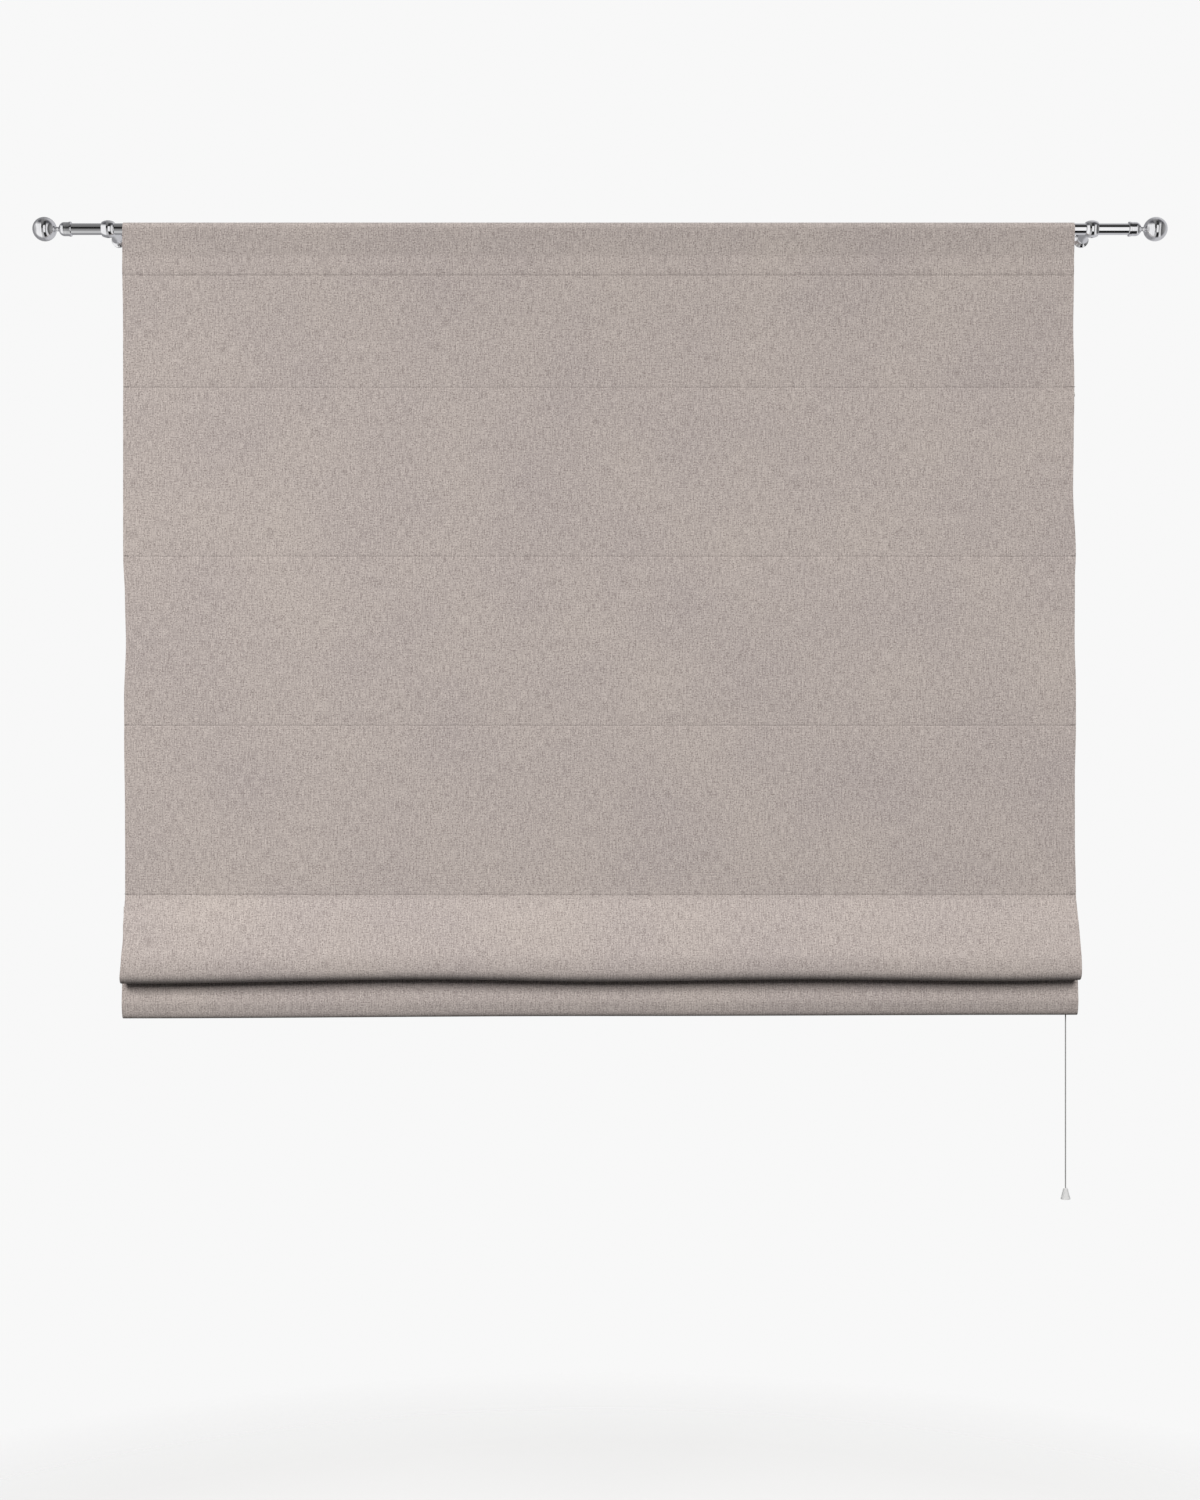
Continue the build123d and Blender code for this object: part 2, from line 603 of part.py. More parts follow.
for number, seam in enumerate(ROD_SEAMS, start=1):
    rod_z = seam - TAPE_DROP

    with BuildPart() as rod:
        with BuildSketch(along_x(-ROD_LENGTH / 2)):
            with Locations((ROD_Y, rod_z)):
                Circle(ROD_RADIUS)
        extrude(amount=ROD_LENGTH)
    save(rod.part, f"stiffening_rod_{number}")

    with BuildPart() as tape:
        with BuildSketch(along_x(-TAPE_LENGTH / 2)):
            with Locations((ROD_Y, rod_z)):
                Circle(LOOP_RADIUS)
            with Locations((TAPE_FRONT + TAPE, (seam + TAPE_FLANGE + rod_z) / 2)):
                Rectangle(2 * TAPE, TAPE_FLANGE + TAPE_DROP)
            with Locations((ROD_Y, rod_z)):
                Circle(ROD_RADIUS + ROD_CLEARANCE, mode=Mode.SUBTRACT)
        extrude(amount=TAPE_LENGTH)
    save(tape.part, f"rod_tape_{number}")

    with BuildPart() as caps:
        for side in (-1, 1):
            with BuildSketch(Plane(origin=(side * TAPE_LENGTH / 2, 0, 0), x_dir=(0, 1, 0), z_dir=(1, 0, 0))):
                with Locations((ROD_Y, rod_z)):
                    Circle(LOOP_RADIUS)
            extrude(amount=side * ROD_CAP_HEAD)
            with BuildSketch(Plane(origin=(side * ROD_LENGTH / 2, 0, 0), x_dir=(0, 1, 0), z_dir=(1, 0, 0))):
                with Locations((ROD_Y, rod_z)):
                    Circle(ROD_RADIUS)
            extrude(amount=side * (TAPE_LENGTH - ROD_LENGTH) / 2)
    save(caps.part, f"rod_caps_{number}")

    with BuildPart() as rings:
        for x in RING_COLUMNS:
            with BuildSketch(Plane(origin=(x, CORD_Y, rod_z), x_dir=(1, 0, 0), z_dir=(0, -1, 0))):
                with Locations((RING_MAJOR, 0)):
                    Circle(RING_WIRE)
            revolve(axis=Axis((x, CORD_Y, rod_z), (0, 0, 1)))
    save(rings.part, f"cord_rings_{number}")

# ---------------------------------------------------------------- lift cords and their orbs

RING_BOTTOM = ROD_SEAMS[-1] - TAPE_DROP - RING_WIRE
ORB_TOP = RING_BOTTOM - ORB_GAP
CORD_END = ORB_TOP - ORB_GRIP
TAIL_END = JOINER_TOP - JOINER_BORE_DEPTH + EDGE_GAP

with BuildPart() as cord_orbs:
    for x, y in zip(RING_COLUMNS, CORD_YS):
        with BuildSketch(Plane(origin=(x, CORD_Y, ORB_TOP), x_dir=(1, 0, 0), z_dir=(0, -1, 0))):
            with BuildLine():
                Polyline(
                    (ORB_TIP_RADIUS, -ORB_LENGTH),
                    (0, -ORB_LENGTH),
                    (0, 0),
                    (ORB_RADIUS - ORB_CHAMFER, 0),
                    (ORB_RADIUS, -ORB_CHAMFER),
                    (ORB_RADIUS, -ORB_STRAIGHT),
                )
                ThreePointArc(
                    (ORB_RADIUS, -ORB_STRAIGHT),
                    (ORB_BELLY_RADIUS, -ORB_BELLY),
                    (ORB_TIP_RADIUS, -ORB_LENGTH),
                )
            make_face()
        revolve(axis=Axis((x, CORD_Y, ORB_TOP), (0, 0, 1)))
        with BuildSketch(facing_up(x, y, ORB_TOP)):
            Circle(CORD_RADIUS + CORD_BORE_CLEARANCE)
        extrude(amount=-ORB_GRIP - EDGE_GAP, mode=Mode.SUBTRACT)
save(cord_orbs.part, "cord_orbs")

for number, (x, y) in enumerate(zip(RING_COLUMNS, CORD_YS), start=1):
    with BuildPart() as lift_cord:
        with BuildLine() as route:
            FilletPolyline(
                (x, y, CORD_END),
                (x, y, HEADER_CORD_Z),
                (PULL_X, y, HEADER_CORD_Z),
                (PULL_X, y, TAIL_END),
                radius=[CORD_TURN, PULLEY_RADIUS + CORD_RADIUS],
            )
        with BuildSketch(facing_up(x, y, CORD_END)):
            Circle(CORD_RADIUS)
        sweep(path=route.wire())
    save(lift_cord.part, f"lift_cord_{number}")

# ---------------------------------------------------------------- cord lock

LOCK_FRONT = HEADER_BACK + TAPE_GAP
LOCK_INNER_FRONT = CORD_Y - LOCK_INNER_HALF
LOCK_BACK = CORD_Y + LOCK_INNER_HALF + LOCK_WALL
SLOT_DX = -sin(radians(SLOT_ANGLE)) * ROLLER_TRAVEL
SLOT_DZ = -cos(radians(SLOT_ANGLE)) * ROLLER_TRAVEL

with BuildPart() as cord_lock_body:
    with BuildSketch(facing_up((LOCK_LEFT + ANVIL_X + LOCK_WALL) / 2, 0, LOCK_BOTTOM)):
        with Locations((0, (LOCK_FRONT + LOCK_BACK) / 2)):
            Rectangle(ANVIL_X + LOCK_WALL - LOCK_LEFT, LOCK_BACK - LOCK_FRONT)
    extrude(amount=LOCK_TOP - LOCK_BOTTOM)
    fillet(cord_lock_body.edges().filter_by(Axis.X).group_by(Axis.Y)[-1], radius=LOCK_CORNER_RADIUS)
    with BuildSketch(facing_up((LOCK_LEFT + ANVIL_X) / 2, CORD_Y, LOCK_BOTTOM)):
        Rectangle(ANVIL_X - LOCK_LEFT, 2 * LOCK_INNER_HALF)
    extrude(amount=LOCK_TOP - LOCK_WALL - LOCK_BOTTOM, mode=Mode.SUBTRACT)
    ear_z = LOCK_TOP - LOCK_EAR_HEIGHT / 2
    ears = ((LOCK_LEFT - LOCK_EAR, LOCK_LEFT), (ANVIL_X + LOCK_WALL, ANVIL_X + LOCK_WALL + LOCK_RIGHT_EAR))
    for left, right in ears:
        with BuildSketch(facing_back((left + right) / 2, LOCK_FRONT, ear_z)):
            Rectangle(right - left, LOCK_EAR_HEIGHT)
        extrude(amount=LOCK_WALL)
    with BuildSketch(facing_back(0, LOCK_FRONT, 0)):
        for x, z in LOCK_SCREWS:
            with Locations((-x, z)):
                Circle(LOCK_SCREW_RADIUS + SCREW_CLEARANCE)
    extrude(amount=LOCK_WALL, mode=Mode.SUBTRACT)
    with BuildSketch(facing_back(PULLEY_X, LOCK_INNER_FRONT - LOCK_WALL, PULLEY_Z)):
        Circle(PIN_RADIUS + PIN_CLEARANCE)
    extrude(amount=LOCK_BACK - LOCK_INNER_FRONT + LOCK_WALL, mode=Mode.SUBTRACT)
    with BuildSketch(facing_back(0, LOCK_INNER_FRONT - LOCK_WALL, 0)):
        with BuildLine():
            Line((-ROLLER_X, ROLLER_Z), (-ROLLER_X - SLOT_DX, ROLLER_Z + SLOT_DZ))
            offset(amount=ROLLER_JOURNAL + SLOT_CLEARANCE, side=Side.BOTH, kind=Kind.ARC)
        make_face()
    extrude(amount=LOCK_BACK - LOCK_INNER_FRONT + LOCK_WALL, mode=Mode.SUBTRACT)
save(cord_lock_body.part, "cord_lock_body")

with BuildPart() as cord_lock_pin:
    with BuildSketch(facing_back(PULLEY_X, LOCK_INNER_FRONT - LOCK_WALL + EDGE_GAP, PULLEY_Z)):
        Circle(PIN_RADIUS)
    extrude(amount=LOCK_BACK - LOCK_INNER_FRONT + LOCK_WALL - EDGE_GAP)
    with BuildSketch(facing_back(PULLEY_X, LOCK_BACK + TAPE_GAP, PULLEY_Z)):
        Circle(PIN_HEAD_RADIUS)
    extrude(amount=PIN_HEAD)
    with BuildSketch(facing_back(PULLEY_X, LOCK_BACK, PULLEY_Z)):
        Circle(PIN_RADIUS)
    extrude(amount=TAPE_GAP)
save(cord_lock_pin.part, "cord_lock_pin")

with BuildPart() as cord_lock_pulley:
    half = LOCK_INNER_HALF - PULLEY_SIDE_GAP
    with BuildSketch(Plane(origin=(PULLEY_X, CORD_Y, PULLEY_Z), x_dir=(1, 0, 0), z_dir=(0, 0, 1))):
        with BuildLine():
            Polyline(
                (PIN_RADIUS + SLIP, -half),
                (PULLEY_RIM_RADIUS, -half),
                (PULLEY_RIM_RADIUS, -half + PULLEY_RIM),
                (PULLEY_RADIUS - SLIP, -half + 2 * PULLEY_RIM),
                (PULLEY_RADIUS - SLIP, half - 2 * PULLEY_RIM),
                (PULLEY_RIM_RADIUS, half - PULLEY_RIM),
                (PULLEY_RIM_RADIUS, half),
                (PIN_RADIUS + SLIP, half),
                (PIN_RADIUS + SLIP, -half),
            )
        make_face()
    revolve(axis=Axis((PULLEY_X, CORD_Y, PULLEY_Z), (0, 1, 0)))
save(cord_lock_pulley.part, "cord_lock_pulley")

with BuildPart() as cord_lock_roller:
    journal_half = LOCK_INNER_HALF + LOCK_WALL - EDGE_GAP
    with BuildSketch(facing_back(ROLLER_X, CORD_Y - LOCK_INNER_HALF + PULLEY_SIDE_GAP, ROLLER_Z)):
        Circle(ROLLER_RADIUS)
    extrude(amount=2 * (LOCK_INNER_HALF - PULLEY_SIDE_GAP))
    with BuildSketch(facing_back(ROLLER_X, CORD_Y - journal_half, ROLLER_Z)):
        Circle(ROLLER_JOURNAL)
    extrude(amount=2 * journal_half)
save(cord_lock_roller.part, "cord_lock_roller")

with BuildPart() as cord_lock_screws:
    head_face = LOCK_FRONT + LOCK_WALL
    for x, z in LOCK_SCREWS:
        with BuildSketch(facing_back(x, POLE_Y + LATH_THICKNESS / 2 - LOCK_SCREW_DEPTH, z)):
            Circle(LOCK_SCREW_RADIUS)
        extrude(amount=head_face - POLE_Y - LATH_THICKNESS / 2 + LOCK_SCREW_DEPTH)
        with BuildSketch(facing_back(x, head_face, z)):
            Circle(LOCK_SCREW_HEAD_RADIUS)
        extrude(amount=LOCK_SCREW_HEAD, taper=LOCK_SCREW_TAPER)
        with BuildSketch(facing_back(x, head_face + LOCK_SCREW_HEAD, z)):
            Rectangle(LOCK_SCREW_CROSS, LOCK_SCREW_CROSS_WIDTH)
            Rectangle(LOCK_SCREW_CROSS_WIDTH, LOCK_SCREW_CROSS)
        extrude(amount=-LOCK_SCREW_HEAD / 2, mode=Mode.SUBTRACT)
save(cord_lock_screws.part, "cord_lock_screws")

# ---------------------------------------------------------------- joiner, pull cord and tassel

with BuildPart() as cord_joiner_cap:
    bottom = JOINER_TOP - JOINER_CAP_LENGTH
    with BuildSketch(facing_up(PULL_X, CORD_Y, bottom)):
        Circle(JOINER_RADIUS)
    extrude(amount=JOINER_CAP_LENGTH)
    fillet(cord_joiner_cap.edges().group_by(Axis.Z)[-1], radius=JOINER_EDGE_RADIUS)
    with BuildSketch(facing_up(PULL_X, CORD_Y, JOINER_TOP)):
        Circle(JOINER_BORE_RADIUS)
    extrude(amount=-JOINER_BORE_DEPTH, mode=Mode.SUBTRACT)
    with BuildSketch(facing_up(PULL_X, CORD_Y, bottom)):
        Circle(SPIGOT_RADIUS + SLIP)
    extrude(amount=SPIGOT_LENGTH + EDGE_GAP, mode=Mode.SUBTRACT)
save(cord_joiner_cap.part, "cord_joiner_cap")

with BuildPart() as cord_joiner_plug:
    top = JOINER_TOP - JOINER_CAP_LENGTH
    with BuildSketch(Plane(origin=(PULL_X, CORD_Y, top), x_dir=(1, 0, 0), z_dir=(0, -1, 0))):
        with BuildLine():
            Polyline(
                (0, -JOINER_PLUG_LENGTH),
                (0, SPIGOT_LENGTH),
                (SPIGOT_RADIUS, SPIGOT_LENGTH),
                (SPIGOT_RADIUS, -TAPE_GAP),
                (JOINER_RADIUS, -TAPE_GAP),
                (JOINER_RADIUS, -JOINER_STRAIGHT),
            )
            ThreePointArc(
                (JOINER_RADIUS, -JOINER_STRAIGHT),
                (JOINER_BELLY_RADIUS, -JOINER_BELLY),
                (JOINER_TIP_RADIUS, -JOINER_PLUG_LENGTH),
            )
            Line((JOINER_TIP_RADIUS, -JOINER_PLUG_LENGTH), (0, -JOINER_PLUG_LENGTH))
        make_face()
    revolve(axis=Axis((PULL_X, CORD_Y, top), (0, 0, 1)))
    with BuildSketch(facing_up(PULL_X, CORD_Y, JOINER_BOTTOM)):
        Circle(PULL_CORD_RADIUS + CORD_BORE_CLEARANCE)
    extrude(amount=JOINER_GRIP, mode=Mode.SUBTRACT)
save(cord_joiner_plug.part, "cord_joiner_plug")

PULL_CORD_TOP = JOINER_BOTTOM + JOINER_GRIP - EDGE_GAP
PULL_CORD_END = TASSEL_TOP - TASSEL_ROOF - CORD_BORE_CLEARANCE

with BuildPart() as pull_cord:
    with BuildSketch(facing_up(PULL_X, CORD_Y, PULL_CORD_END)):
        Circle(PULL_CORD_RADIUS)
    extrude(amount=PULL_CORD_TOP - PULL_CORD_END)
save(pull_cord.part, "pull_cord")

with BuildPart() as pull_cord_knot:
    with Locations((PULL_X, CORD_Y, PULL_CORD_END - KNOT_RADIUS)):
        Sphere(KNOT_RADIUS)
save(pull_cord_knot.part, "pull_cord_knot")

with BuildPart() as tassel:
    with BuildSketch(Plane(origin=(PULL_X, CORD_Y, TASSEL_BOTTOM), x_dir=(1, 0, 0), z_dir=(0, -1, 0))):
        with BuildLine():
            bore = PULL_CORD_RADIUS + CORD_BORE_CLEARANCE
            roof = TASSEL_HEIGHT - TASSEL_ROOF
            Polyline(
                (TASSEL_BOTTOM_RADIUS - TASSEL_WALL, 0),
                (TASSEL_BOTTOM_RADIUS, 0),
                (TASSEL_BOTTOM_RADIUS, TASSEL_LIP),
            )
            ThreePointArc(
                (TASSEL_BOTTOM_RADIUS, TASSEL_LIP),
                (TASSEL_BELLY_RADIUS, TASSEL_BELLY),
                (TASSEL_TOP_RADIUS, TASSEL_HEIGHT - TASSEL_EDGE),
            )
            Polyline(
                (TASSEL_TOP_RADIUS, TASSEL_HEIGHT - TASSEL_EDGE),
                (TASSEL_TOP_RADIUS - TASSEL_EDGE, TASSEL_HEIGHT),
                (bore, TASSEL_HEIGHT),
                (bore, roof),
                (TASSEL_TOP_RADIUS - TASSEL_ROOF_STEP, roof),
                (TASSEL_BOTTOM_RADIUS - TASSEL_WALL, 0),
            )
        make_face()
    revolve(axis=Axis((PULL_X, CORD_Y, TASSEL_BOTTOM), (0, 0, 1)))
save(tassel.part, "tassel")
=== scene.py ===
"""Dresses a cord-operated roman blind: woven cloth on a chrome pole, rods, rings, cords and their fittings.

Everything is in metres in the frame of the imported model: +X to the right as seen from the room, +Y towards
the wall and +Z up, with the origin on the wall, level with the pole's axis. A few sizes of single millimetres
or less are given in millimetres and multiplied by MM where they are used; their comments say so.
"""

from __future__ import annotations

import json
import logging
import math
from dataclasses import dataclass
from enum import Enum
from typing import Callable, Sequence

import bpy
import numpy as np
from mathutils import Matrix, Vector

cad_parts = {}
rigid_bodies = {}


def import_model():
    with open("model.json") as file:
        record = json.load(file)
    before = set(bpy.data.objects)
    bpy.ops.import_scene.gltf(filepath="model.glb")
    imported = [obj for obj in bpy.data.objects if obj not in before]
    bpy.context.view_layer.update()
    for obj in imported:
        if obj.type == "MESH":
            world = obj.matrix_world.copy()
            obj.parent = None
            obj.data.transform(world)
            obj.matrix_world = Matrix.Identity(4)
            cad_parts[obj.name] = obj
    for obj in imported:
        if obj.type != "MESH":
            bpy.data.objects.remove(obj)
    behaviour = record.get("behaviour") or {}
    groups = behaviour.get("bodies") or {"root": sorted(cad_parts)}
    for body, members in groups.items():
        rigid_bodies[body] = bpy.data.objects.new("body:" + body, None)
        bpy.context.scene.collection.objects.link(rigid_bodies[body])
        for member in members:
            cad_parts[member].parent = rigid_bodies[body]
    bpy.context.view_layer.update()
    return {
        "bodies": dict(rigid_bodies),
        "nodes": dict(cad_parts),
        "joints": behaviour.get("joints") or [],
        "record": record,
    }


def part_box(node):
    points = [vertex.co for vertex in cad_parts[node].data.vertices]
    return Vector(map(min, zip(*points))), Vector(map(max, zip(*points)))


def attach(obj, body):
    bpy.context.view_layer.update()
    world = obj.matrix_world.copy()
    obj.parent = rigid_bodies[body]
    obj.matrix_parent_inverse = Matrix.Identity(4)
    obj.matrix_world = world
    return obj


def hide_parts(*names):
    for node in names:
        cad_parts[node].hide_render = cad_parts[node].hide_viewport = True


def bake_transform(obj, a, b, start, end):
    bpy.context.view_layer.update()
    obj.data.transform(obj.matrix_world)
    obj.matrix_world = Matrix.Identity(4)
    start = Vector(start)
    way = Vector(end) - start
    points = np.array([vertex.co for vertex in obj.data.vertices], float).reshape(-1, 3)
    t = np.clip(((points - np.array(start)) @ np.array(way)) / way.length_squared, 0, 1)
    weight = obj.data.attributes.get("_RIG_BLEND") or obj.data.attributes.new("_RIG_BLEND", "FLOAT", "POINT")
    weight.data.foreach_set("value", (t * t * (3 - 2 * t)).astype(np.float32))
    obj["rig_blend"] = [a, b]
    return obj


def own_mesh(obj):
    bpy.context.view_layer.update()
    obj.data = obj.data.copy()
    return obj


LOG = logging.getLogger("roman_blind")

MM = 0.001
Point = tuple[float, float, float]
Colour = tuple[float, float, float]
Knots = tuple[tuple[float, float], ...]
Socket = bpy.types.NodeSocket


class Body(str, Enum):
    """The bodies that pieces ride on."""

    HEADRAIL = "headrail"
    ROD_ROW_1 = "rod_row_1"
    ROD_ROW_2 = "rod_row_2"
    ROD_ROW_3 = "rod_row_3"
    LOWER = "lower_panel"
    PULL = "pull"


class Slot(str, Enum):
    """Names of three material slots; nothing in this script uses them."""

    CLOTH = "cloth"
    TAPE = "tape"
    CORD = "cord"


class Along(Enum):
    """The direction in which a metal was turned, drawn or brushed, as its grain's scale on X, Y and Z."""

    POLE = (1.5, 700.0, 700.0)
    RINGS = (420.0, 9.0, 9.0)
    NONE = (220.0, 220.0, 220.0)


def grey(tone: float) -> Colour:
    """Returns a neutral colour."""
    return (tone, tone, tone)


BLACK, WHITE = grey(0.0), grey(1.0)


# ---------------------------------------------------------------- shader building


class Graph:
    """The node tree of a material or a world, with short ways to add and join nodes."""

    # A colour Mix node's inputs for the factor and the two colours, and its output for the mixed one.
    MIX_INPUTS = (0, 6, 7)
    MIX_OUTPUT = 2

    def __init__(self, name: str, world: bool = False) -> None:
        """Starts an empty tree.

        Args:
            name: The name of the material or the world.
            world: True for a world, False for a material.
        """
        self.owner = bpy.data.worlds.new(name) if world else bpy.data.materials.new(name)
        self.owner.use_nodes = True
        self.tree = self.owner.node_tree
        self.tree.nodes.clear()
        self.output = self.add("OutputWorld" if world else "OutputMaterial")

    def add(self, kind: str, **values: object) -> bpy.types.Node:
        """Adds a node.

        Args:
            kind: The node's type without its ShaderNode prefix.
            **values: Properties by name, or inputs by name with spaces as underscores.

        Returns:
            The node.
        """
        node = self.tree.nodes.new("ShaderNode" + kind)
        for key, value in values.items():
            if hasattr(node, key):
                setattr(node, key, value)
            else:
                self.feed(node.inputs[key.replace("_", " ")], value)
        return node

    def feed(self, socket: Socket, value: object) -> None:
        """Links an output to a socket, or sets the socket's own value.

        Args:
            socket: The input.
            value: An output, a number or a colour.
        """
        if isinstance(value, bpy.types.NodeSocket):
            self.tree.links.new(value, socket)
        else:
            socket.default_value = value

    def math(self, operation: str, first: object, second: object = 0.0) -> Socket:
        """Returns the result of a Math node.

        Args:
            operation: What the node does.
            first: The first value.
            second: The second value, for an operation that takes two.

        Returns:
            The result.
        """
        node = self.add("Math", operation=operation)
        for number, value in enumerate((first, second)):
            self.feed(node.inputs[number], value)
        return node.outputs[0]

    def weigh(self, first: object, share: float, second: object, other: float) -> Socket:
        """Returns the sum of two values, each times its own share."""
        return self.math("ADD", self.math("MULTIPLY", first, share), self.math("MULTIPLY", second, other))

    def ridges(self, value: object) -> Socket:
        """Returns rounded ridges, one for every pi of the value."""
        return self.math("ABSOLUTE", self.math("SINE", value))

    def ramp(self, value: object, stops: Sequence[tuple[float, Colour]]) -> Socket:
        """Returns a colour ramp's colour.

        Args:
            value: The factor.
            stops: Places from 0 to 1, each with its colour.

        Returns:
            The colour output.
        """
        node = self.add("ValToRGB")
        while len(node.color_ramp.elements) < len(stops):
            node.color_ramp.elements.new(0.5)
        for element, (place, colour) in zip(node.color_ramp.elements, stops):
            element.position = place
            element.color = (*colour, 1.0)
        self.feed(node.inputs[0], value)
        return node.outputs[0]

    def level(self, value: object, low: float, high: float) -> Socket:
        """Returns value, from 0 to 1, mapped to a span from low to high."""
        return self.add("MapRange", Value=value, To_Min=low, To_Max=high).outputs[0]

    def step(self, value: object, start: float, end: float) -> Socket:
        """Returns 0 before start, 1 after end and a slope between them."""
        return self.add("MapRange", Value=value, From_Min=start, From_Max=end).outputs[0]

    def place(self, scale: Sequence[float], uv: bool = False) -> Socket:
        """Returns the piece's own coordinates, scaled.

        Args:
            scale: The scale on each axis.
            uv: True for the cloth's flat coordinates, in metres, which stay put when the cloth moves.

        Returns:
            The vector output.
        """
        source = self.add("TexCoord").outputs["UV" if uv else "Object"]
        return self.add("Mapping", Vector=source, Scale=scale).outputs[0]

    def noise(self, vector: Socket, scale: float, detail: float) -> Socket:
        """Returns the grey output of a noise texture."""
        return self.add("TexNoise", Vector=vector, Scale=scale, Detail=detail).outputs[0]

    def strands(self, vector: Socket, distortion: float) -> Socket:
        """Returns slanted bands, a little uneven."""
        node = self.add("TexWave", bands_direction="DIAGONAL", Vector=vector, Scale=1.0)
        node.inputs["Distortion"].default_value = distortion
        return node.outputs[1]

    def mix(self, factor: object, first: object, second: object) -> Socket:
        """Returns a mix of two colours.

        Args:
            factor: The second colour's share.
            first: The first colour.
            second: The second colour.

        Returns:
            The mixed colour.
        """
        node = self.add("Mix", data_type="RGBA")
        for number, value in zip(self.MIX_INPUTS, (factor, first, second)):
            self.feed(node.inputs[number], value)
        return node.outputs[self.MIX_OUTPUT]

    def bump(self, height: object, distance: float, strength: float) -> Socket:
        """Returns a normal from a height, with distance in metres."""
        return self.add("Bump", Strength=strength, Distance=distance, Height=height).outputs[0]

    def end(self, shader: bpy.types.Node) -> bpy.types.ID:
        """Ends the tree with a shader and returns its material or world."""
        self.feed(self.output.inputs[0], shader.outputs[0])
        return self.owner

    def principled(self, **values: object) -> bpy.types.Material:
        """Ends the tree with a Principled shader and returns the material."""
        return self.end(self.add("BsdfPrincipled", **values))


# ---------------------------------------------------------------- finishes


@dataclass(frozen=True)
class WovenCloth:
    """A fine woven melange: warm and mauve yarns, dark and light specks, thread ribs and slubs."""

    name: str = "woven_cloth"
    dark: Colour = (0.225, 0.190, 0.182)
    mauve: Colour = (0.450, 0.400, 0.394)
    warm: Colour = (0.550, 0.492, 0.458)
    slub: Colour = (0.690, 0.630, 0.595)
    thread: float = 1.05 * MM
    patch_scale: float = 5.0
    patch_detail: float = 7.0
    warp: Point = (560.0, 48.0, 1.0)
    weft: Point = (64.0, 600.0, 1.0)
    speck_scale: float = 430.0
    relief: float = 0.12 * MM

    def material(self) -> bpy.types.Material:
        """Builds the cloth's material.

        Returns:
            The material.
        """
        g = Graph(self.name)
        dark, slub = (*self.dark, 1.0), (*self.slub, 1.0)
        flat = g.place((1.0, 1.0, 1.0), uv=True)
        patches = g.noise(flat, self.patch_scale, self.patch_detail)
        base = g.ramp(patches, ((0.22, self.mauve), (0.80, self.warm)))
        warp, weft = (g.noise(g.place(scale, uv=True), 1.0, 2.0) for scale in (self.warp, self.weft))
        yarns = g.weigh(warp, 0.6, weft, 0.4)
        base = g.mix(g.ramp(yarns, ((0.36, grey(0.60)), (0.52, BLACK))), base, dark)
        base = g.mix(g.ramp(yarns, ((0.52, BLACK), (0.66, grey(0.55)))), base, slub)
        specks = g.noise(flat, self.speck_scale, 2.0)
        dark_specks = g.ramp(specks, ((0.35, WHITE), (0.42, BLACK)))
        light_specks = g.ramp(specks, ((0.57, BLACK), (0.65, WHITE)))
        base = g.mix(g.math("MULTIPLY", dark_specks, 0.90), base, dark)
        base = g.mix(g.math("MULTIPLY", light_specks, 0.85), base, slub)
        weave = g.math("MULTIPLY", self.ribs(g, 0), self.ribs(g, 1))
        base = g.mix(g.level(weave, 0.22, 0.0), base, dark)
        height = g.math("ADD", weave, g.math("MULTIPLY", yarns, 0.8))
        return g.principled(
            Base_Color=base,
            Roughness=g.level(patches, 0.80, 0.94),
            Sheen_Weight=0.25,
            Sheen_Roughness=0.6,
            Specular_IOR_Level=0.2,
            Normal=g.bump(height, self.relief, 0.8),
        )

    def ribs(self, g: Graph, axis: int) -> Socket:
        """Returns rounded ribs across one direction of the cloth, one for each thread.

        Args:
            g: The material's tree.
            axis: 0 for the cloth's width, 1 for its length.

        Returns:
            The ribs' height, from 0 to 1.
        """
        scale = [0.0, 0.0, 0.0]
        scale[axis] = 1.0 / self.thread
        split = g.add("SeparateXYZ", Vector=g.place(scale, uv=True))
        return g.ridges(g.math("MULTIPLY", split.outputs[axis], math.pi))


@dataclass(frozen=True)
class WovenTape:
    """A narrow herringbone tape."""

    name: str = "woven_tape"
    light: Colour = (0.66, 0.63, 0.58)
    shade: Colour = (0.42, 0.39, 0.35)
    slant: Point = (700.0, 700.0, 1.0)
    fleck: Point = (600.0, 600.0, 1.0)
    relief: float = 0.15 * MM

    def material(self) -> bpy.types.Material:
        """Builds the tape's material.

        Returns:
            The material.
        """
        g = Graph(self.name)
        bands = g.strands(g.place(self.slant, uv=True), 0.6)
        fleck = g.noise(g.place(self.fleck, uv=True), 1.0, 3.0)
        tone = g.weigh(bands, 0.45, fleck, 0.6)
        return g.principled(
            Base_Color=g.ramp(tone, ((0.20, self.shade), (0.75, self.light))),
            Roughness=g.level(fleck, 0.78, 0.95),
            Sheen_Weight=0.15,
            Specular_IOR_Level=0.2,
            Normal=g.bump(tone, self.relief, 0.7),
        )


@dataclass(frozen=True)
class BraidedCord:
    """A braided cord or a twisted thread: slanted strands, darker between them, and faint uneven dust."""

    name: str
    light: Colour
    shade: Colour
    strand: float
    dust: Point = (160.0, 160.0, 160.0)
    relief: float = 0.12 * MM

    def material(self) -> bpy.types.Material:
        """Builds the cord's material.

        Returns:
            The material.
        """
        g = Graph(self.name)
        bands = g.strands(g.place((1.0 / self.strand,) * 3), 0.4)
        dust = g.noise(g.place(self.dust), 1.0, 3.0)
        tone = g.weigh(bands, 0.7, dust, 0.3)
        return g.principled(
            Base_Color=g.ramp(tone, ((0.15, self.shade), (0.70, self.light))),
            Roughness=g.level(dust, 0.70, 0.90),
            Sheen_Weight=0.1,
            Normal=g.bump(tone, self.relief, 0.6),
        )


